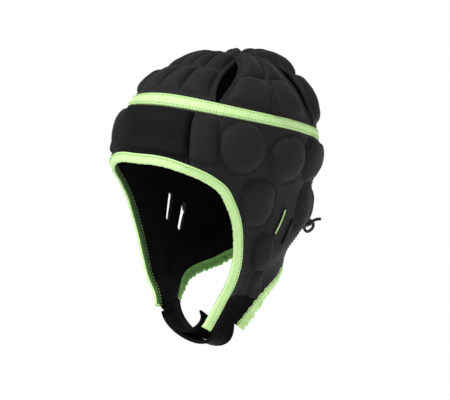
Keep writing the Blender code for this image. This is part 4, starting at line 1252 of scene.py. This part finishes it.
def lace_pieces(materials):
    """Cord across the back slot, its knot, and its free end."""
    lie = LACE_DIAMETER / 2 + LACE_CLEARANCE
    knot = on_back(KNOT_TURN, -KNOT_DROP, KNOT_DIAMETER / 2 + GAP)
    knot_across = math.radians(180.0 - KNOT_TURN) * MEAN_RADIUS
    knot_below = (KNOT_DROP - BACK_SLOT_DROP) * CHEEK_DEPTH
    flat = [(a * LACE_SPREAD, d * BACK_SLOT_LENGTH, 0.0) for a, d in LACE_CROSSINGS]
    flat.append((knot_across * LACE_LOW_SHARE, knot_below, 0.0))
    flat.append((knot_across - KNOT_DIAMETER / 2, knot_below, 0.0))
    spread = smooth_route(flat, LACE_DIAMETER * 0.8)
    turn = 180.0 - np.degrees(spread[:, 0] / MEAN_RADIUS)
    level = -BACK_SLOT_DROP - spread[:, 1] / CHEEK_DEPTH
    route = on_back(turn, level, lie)
    lace = tube("lace_cord", route, LACE_DIAMETER, materials["cord"])
    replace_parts(lace, "lace")
    angle = math.radians(LACE_END_HEADING)
    right = np.array([math.cos(angle), math.sin(angle), 0.0])
    back = np.array([-math.sin(angle), math.cos(angle), 0.0])
    up = np.array([0.0, 0.0, 1.0])
    points = [knot + KNOT_DIAMETER * (r * right + b * back + u * up) for r, b, u in LACE_END]
    route = smooth_route(points, LACE_DIAMETER * 0.5)
    end = tube("lace_free_end", route, LACE_DIAMETER, materials["cord"])
    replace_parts(end, "lace_end")
    frame_axes = np.stack([right, up, back])
    tie = tied_knot(knot, frame_axes, materials)
    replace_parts(tie, "lace_knot")


def slit_painted_light(materials):
    """Thin bright lime line in the front ear slit on the wearer's left: painted light that stands for
    light showing through the slit, not a piece of the cap.
    """
    slit = EAR_SLITS[0]
    share = np.linspace(0.06, 0.98, 24)
    bow = PAINTED_LIGHT_BOW * np.sin(np.pi * share)
    turn = slit["top_turn"] + (slit["low_turn"] - slit["top_turn"]) * share + bow + PAINTED_LIGHT_SHIFT
    level = -(slit["top_drop"] + (slit["low_drop"] - slit["top_drop"]) * share)
    route = line_on_wall(turn, level, CLOTH / 2 + 0.0006)[0] - SEAT
    tube("slit_painted_light", route, PAINTED_LIGHT_DIAMETER, materials["tape"])


def stitches(name, lines, finish):
    """Short raised threads along lines of points with normals."""
    sides, rings = 5, ((-0.5, 0.25, 0.0), (-0.32, 1.0, 0.7), (0.32, 1.0, 0.7), (0.5, 0.25, 0.0))
    vertices, faces = [], []
    for points, normals in lines:
        run = distance_along(points)
        places = np.arange(STITCH_PITCH / 2, run[-1], STITCH_PITCH)
        centre = resampled(places, run, points)
        up = unit(resampled(places, run, normals))
        along = unit(resampled(places + 0.0006, run, points) - resampled(places - 0.0006, run, points))
        across = np.cross(along, up)
        for c, a, s, u in zip(centre, along, across, up):
            start = len(vertices)
            for shift, size, lift in rings:
                for side in range(sides):
                    angle = 2 * math.pi * side / sides
                    ring = s * math.cos(angle) + u * math.sin(angle)
                    centre_line = c + a * shift * STITCH_LENGTH
                    vertices.append(centre_line + ring * THREAD * size + u * THREAD * lift)
            for ring in range(len(rings) - 1):
                for side in range(sides):
                    nxt = (side + 1) % sides
                    low, high = start + ring * sides, start + (ring + 1) * sides
                    faces.append((low + side, low + nxt, high + nxt, high + side))
            faces.append(tuple(range(start, start + sides))[::-1])
            last = start + (len(rings) - 1) * sides
            faces.append(tuple(range(last, last + sides)))
    uvs = np.zeros((len(vertices), 2))
    return make_piece(name, vertices, faces, uvs, np.zeros(len(faces)), (finish,))


def line_on_wall(turn, level, stand):
    """Points that stand over the cloth's middle, and their normals."""
    normal = outward(turn, level)
    offset = wall_middle(turn, level) + stand
    return outline(turn, level) + normal * offset[..., None], normal


def seam_stitches(materials):
    """Stitch rows of the band, the bindings, and the brow and rear seams."""
    rows = []
    turns = np.linspace(0.0, 360.0, 400)
    for share in (0.16, 0.84):
        level = level_of(band_height(turns) - BAND_WIDTH * share)
        normal = outward(turns, level)
        lift = BAND_THICKNESS / 2 + 0.00012 - INSET
        rows.append((outline(turns, level) + normal * lift, normal))
    stitches("band_stitches", rows, materials["lime_thread"])
    rows = []
    for line, ends in ((face_line, FACE_ENDS), (neck_line, NECK_ENDS)):
        points, normals, inwards, _ = edge_frames(line, ends, 120)
        into = BINDING_WIDTH / 2 - 0.0020
        lift = TAPE_HALF * 1.12 - cloth_drop(into)
        rows.append((points + inwards * into + normals * lift, normals))
        into = BINDING_WIDTH / 2 - 0.0008
        lift = TAPE_HALF + 0.0002 + cloth_drop(into)
        rows.append((points + inwards * into - normals * lift, -normals))
    stitches("binding_stitches", rows, materials["lime_thread"])
    rows = []
    for side in (1.0, -1.0):
        for seam, line in ((BROW_TURN, face_line), (REAR_TURN, neck_line)):
            low = inset_height(line, seam)
            for shift in (-1.6, 1.6):
                top = band_height(seam) - BAND_WIDTH
                level = level_of(np.linspace(top, low, 60))
                turn = np.full(60, (seam + shift) * side)
                rows.append(line_on_wall(turn, level, CLOTH / 2 + 0.0001))
    stitches("seam_stitches", rows, materials["thread"])


# Stage


def make_stage():
    half = FLOOR_SIZE / 2
    low = cad_box[0][2] - FLOOR_DROP
    corners = [(-half, -half, low), (half, -half, low), (half, half, low), (-half, half, low)]
    mesh = bpy.data.meshes.new("floor")
    mesh.from_pydata(corners, [], [(0, 1, 2, 3)])
    finish, _, shader = new_material("pale_floor", (0.93, 0.93, 0.93), 0.9)
    shader.inputs["Specular IOR Level"].default_value = 0.0
    mesh.materials.append(finish)
    floor = add_object("floor", mesh)
    world = bpy.data.worlds.new("studio")
    bpy.context.scene.world = world
    world.use_nodes = True
    background = world.node_tree.nodes["Background"]
    background.inputs["Color"].default_value = (1.0, 1.0, 1.0, 1.0)
    background.inputs["Strength"].default_value = FILL
    bpy.context.scene.view_settings.view_transform = "Standard"


def add_sun(name, heading, rise, strength, softness):
    """Soft far light from a heading round from the brow and a height, in degrees."""
    lamp = bpy.data.lights.new(name, "SUN")
    lamp.energy = strength
    lamp.angle = math.radians(softness)
    light = add_object(name, lamp)
    light.rotation_euler = (-facing(heading, rise)).to_track_quat("-Z", "Y").to_euler()


def make_camera():
    data = bpy.data.cameras.new("camera")
    data.lens = LENS
    data.sensor_width = SENSOR
    data.clip_end = 50.0
    camera = add_object("camera", data)
    back = facing(HEADING, ELEVATION)
    distance = FRAME_PIXELS * PIXEL_SIZE * LENS / SENSOR
    camera.location = Vector(AIM) + back * distance
    camera.rotation_euler = (-back).to_track_quat("-Z", "Y").to_euler()
    bpy.context.scene.camera = camera


def build():
    make_camera()
    make_stage()
    add_sun("key", heading=-18.0, rise=52.0, strength=2.7, softness=12.0)
    add_sun("side", heading=75.0, rise=26.0, strength=0.55, softness=25.0)
    materials = make_materials()
    lace_pieces(materials)
    near, far = VENT_TURNS
    crowns = (
        ("crown_front", -near, near, 3, CROWN_SPLIT, False),
        ("crown_left", near, far, 2, SIDE_CROWN_SPLIT, True),
        ("crown_right", -far, -near, 2, SIDE_CROWN_SPLIT, True),
        ("crown_back", far, 360.0 - far, 4, CROWN_SPLIT, False),
    )
    for node, first, last, pads, split, ridge in crowns:
        panel = crown_panel(f"{node}_pads", first, last, pads, split, ridge, materials)
        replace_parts(panel, node)
    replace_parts(crown_band(materials), "crown_band")
    brow = hanging_panel(
        "brow_pad", face_line, BROW_SHARE, BROW_TURN, brow_rise, "brow", materials
    )
    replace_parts(brow, "brow_panel")
    for node, side in (("side_panel_left", 1.0), ("side_panel_right", -1.0)):
        panel = side_panel(f"{node}_pads", side, materials)
        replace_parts(panel, node)
    back = hanging_panel(
        "back_pads", neck_line, REAR_SHARE, REAR_TURN, back_shape, "cloth", materials
    )
    reach = BACK_SLOT_LENGTH / 2 / CHEEK_DEPTH
    ends = np.array([[180.0, BACK_SLOT_DROP - reach], [180.0, BACK_SLOT_DROP + reach]])
    cut_slot(back, "back_slot_cutter", ends, 1.0, BACK_SLOT_LENGTH, BACK_SLOT_WIDTH)
    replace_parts(back, "back_panel")
    tape = binding("face_tape", face_line, FACE_ENDS, 280, 0.00035, 31, materials)
    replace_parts(tape, "face_binding")
    tape = binding("neck_tape", neck_line, NECK_ENDS, 300, 0.00115, 41, materials)
    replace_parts(tape, "neck_binding")
    sleeve = strap("strap_sleeve", np.linspace(1.0, SLEEVE_END, 96), sleeve_place, materials)
    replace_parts(sleeve, "chin_strap_sleeve")
    tongue = strap("strap_tongue", np.linspace(-1.0, 0.9, 90), tongue_place, materials)
    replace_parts(tongue, "chin_strap_tongue")
    seam_stitches(materials)
    slit_painted_light(materials)


build()
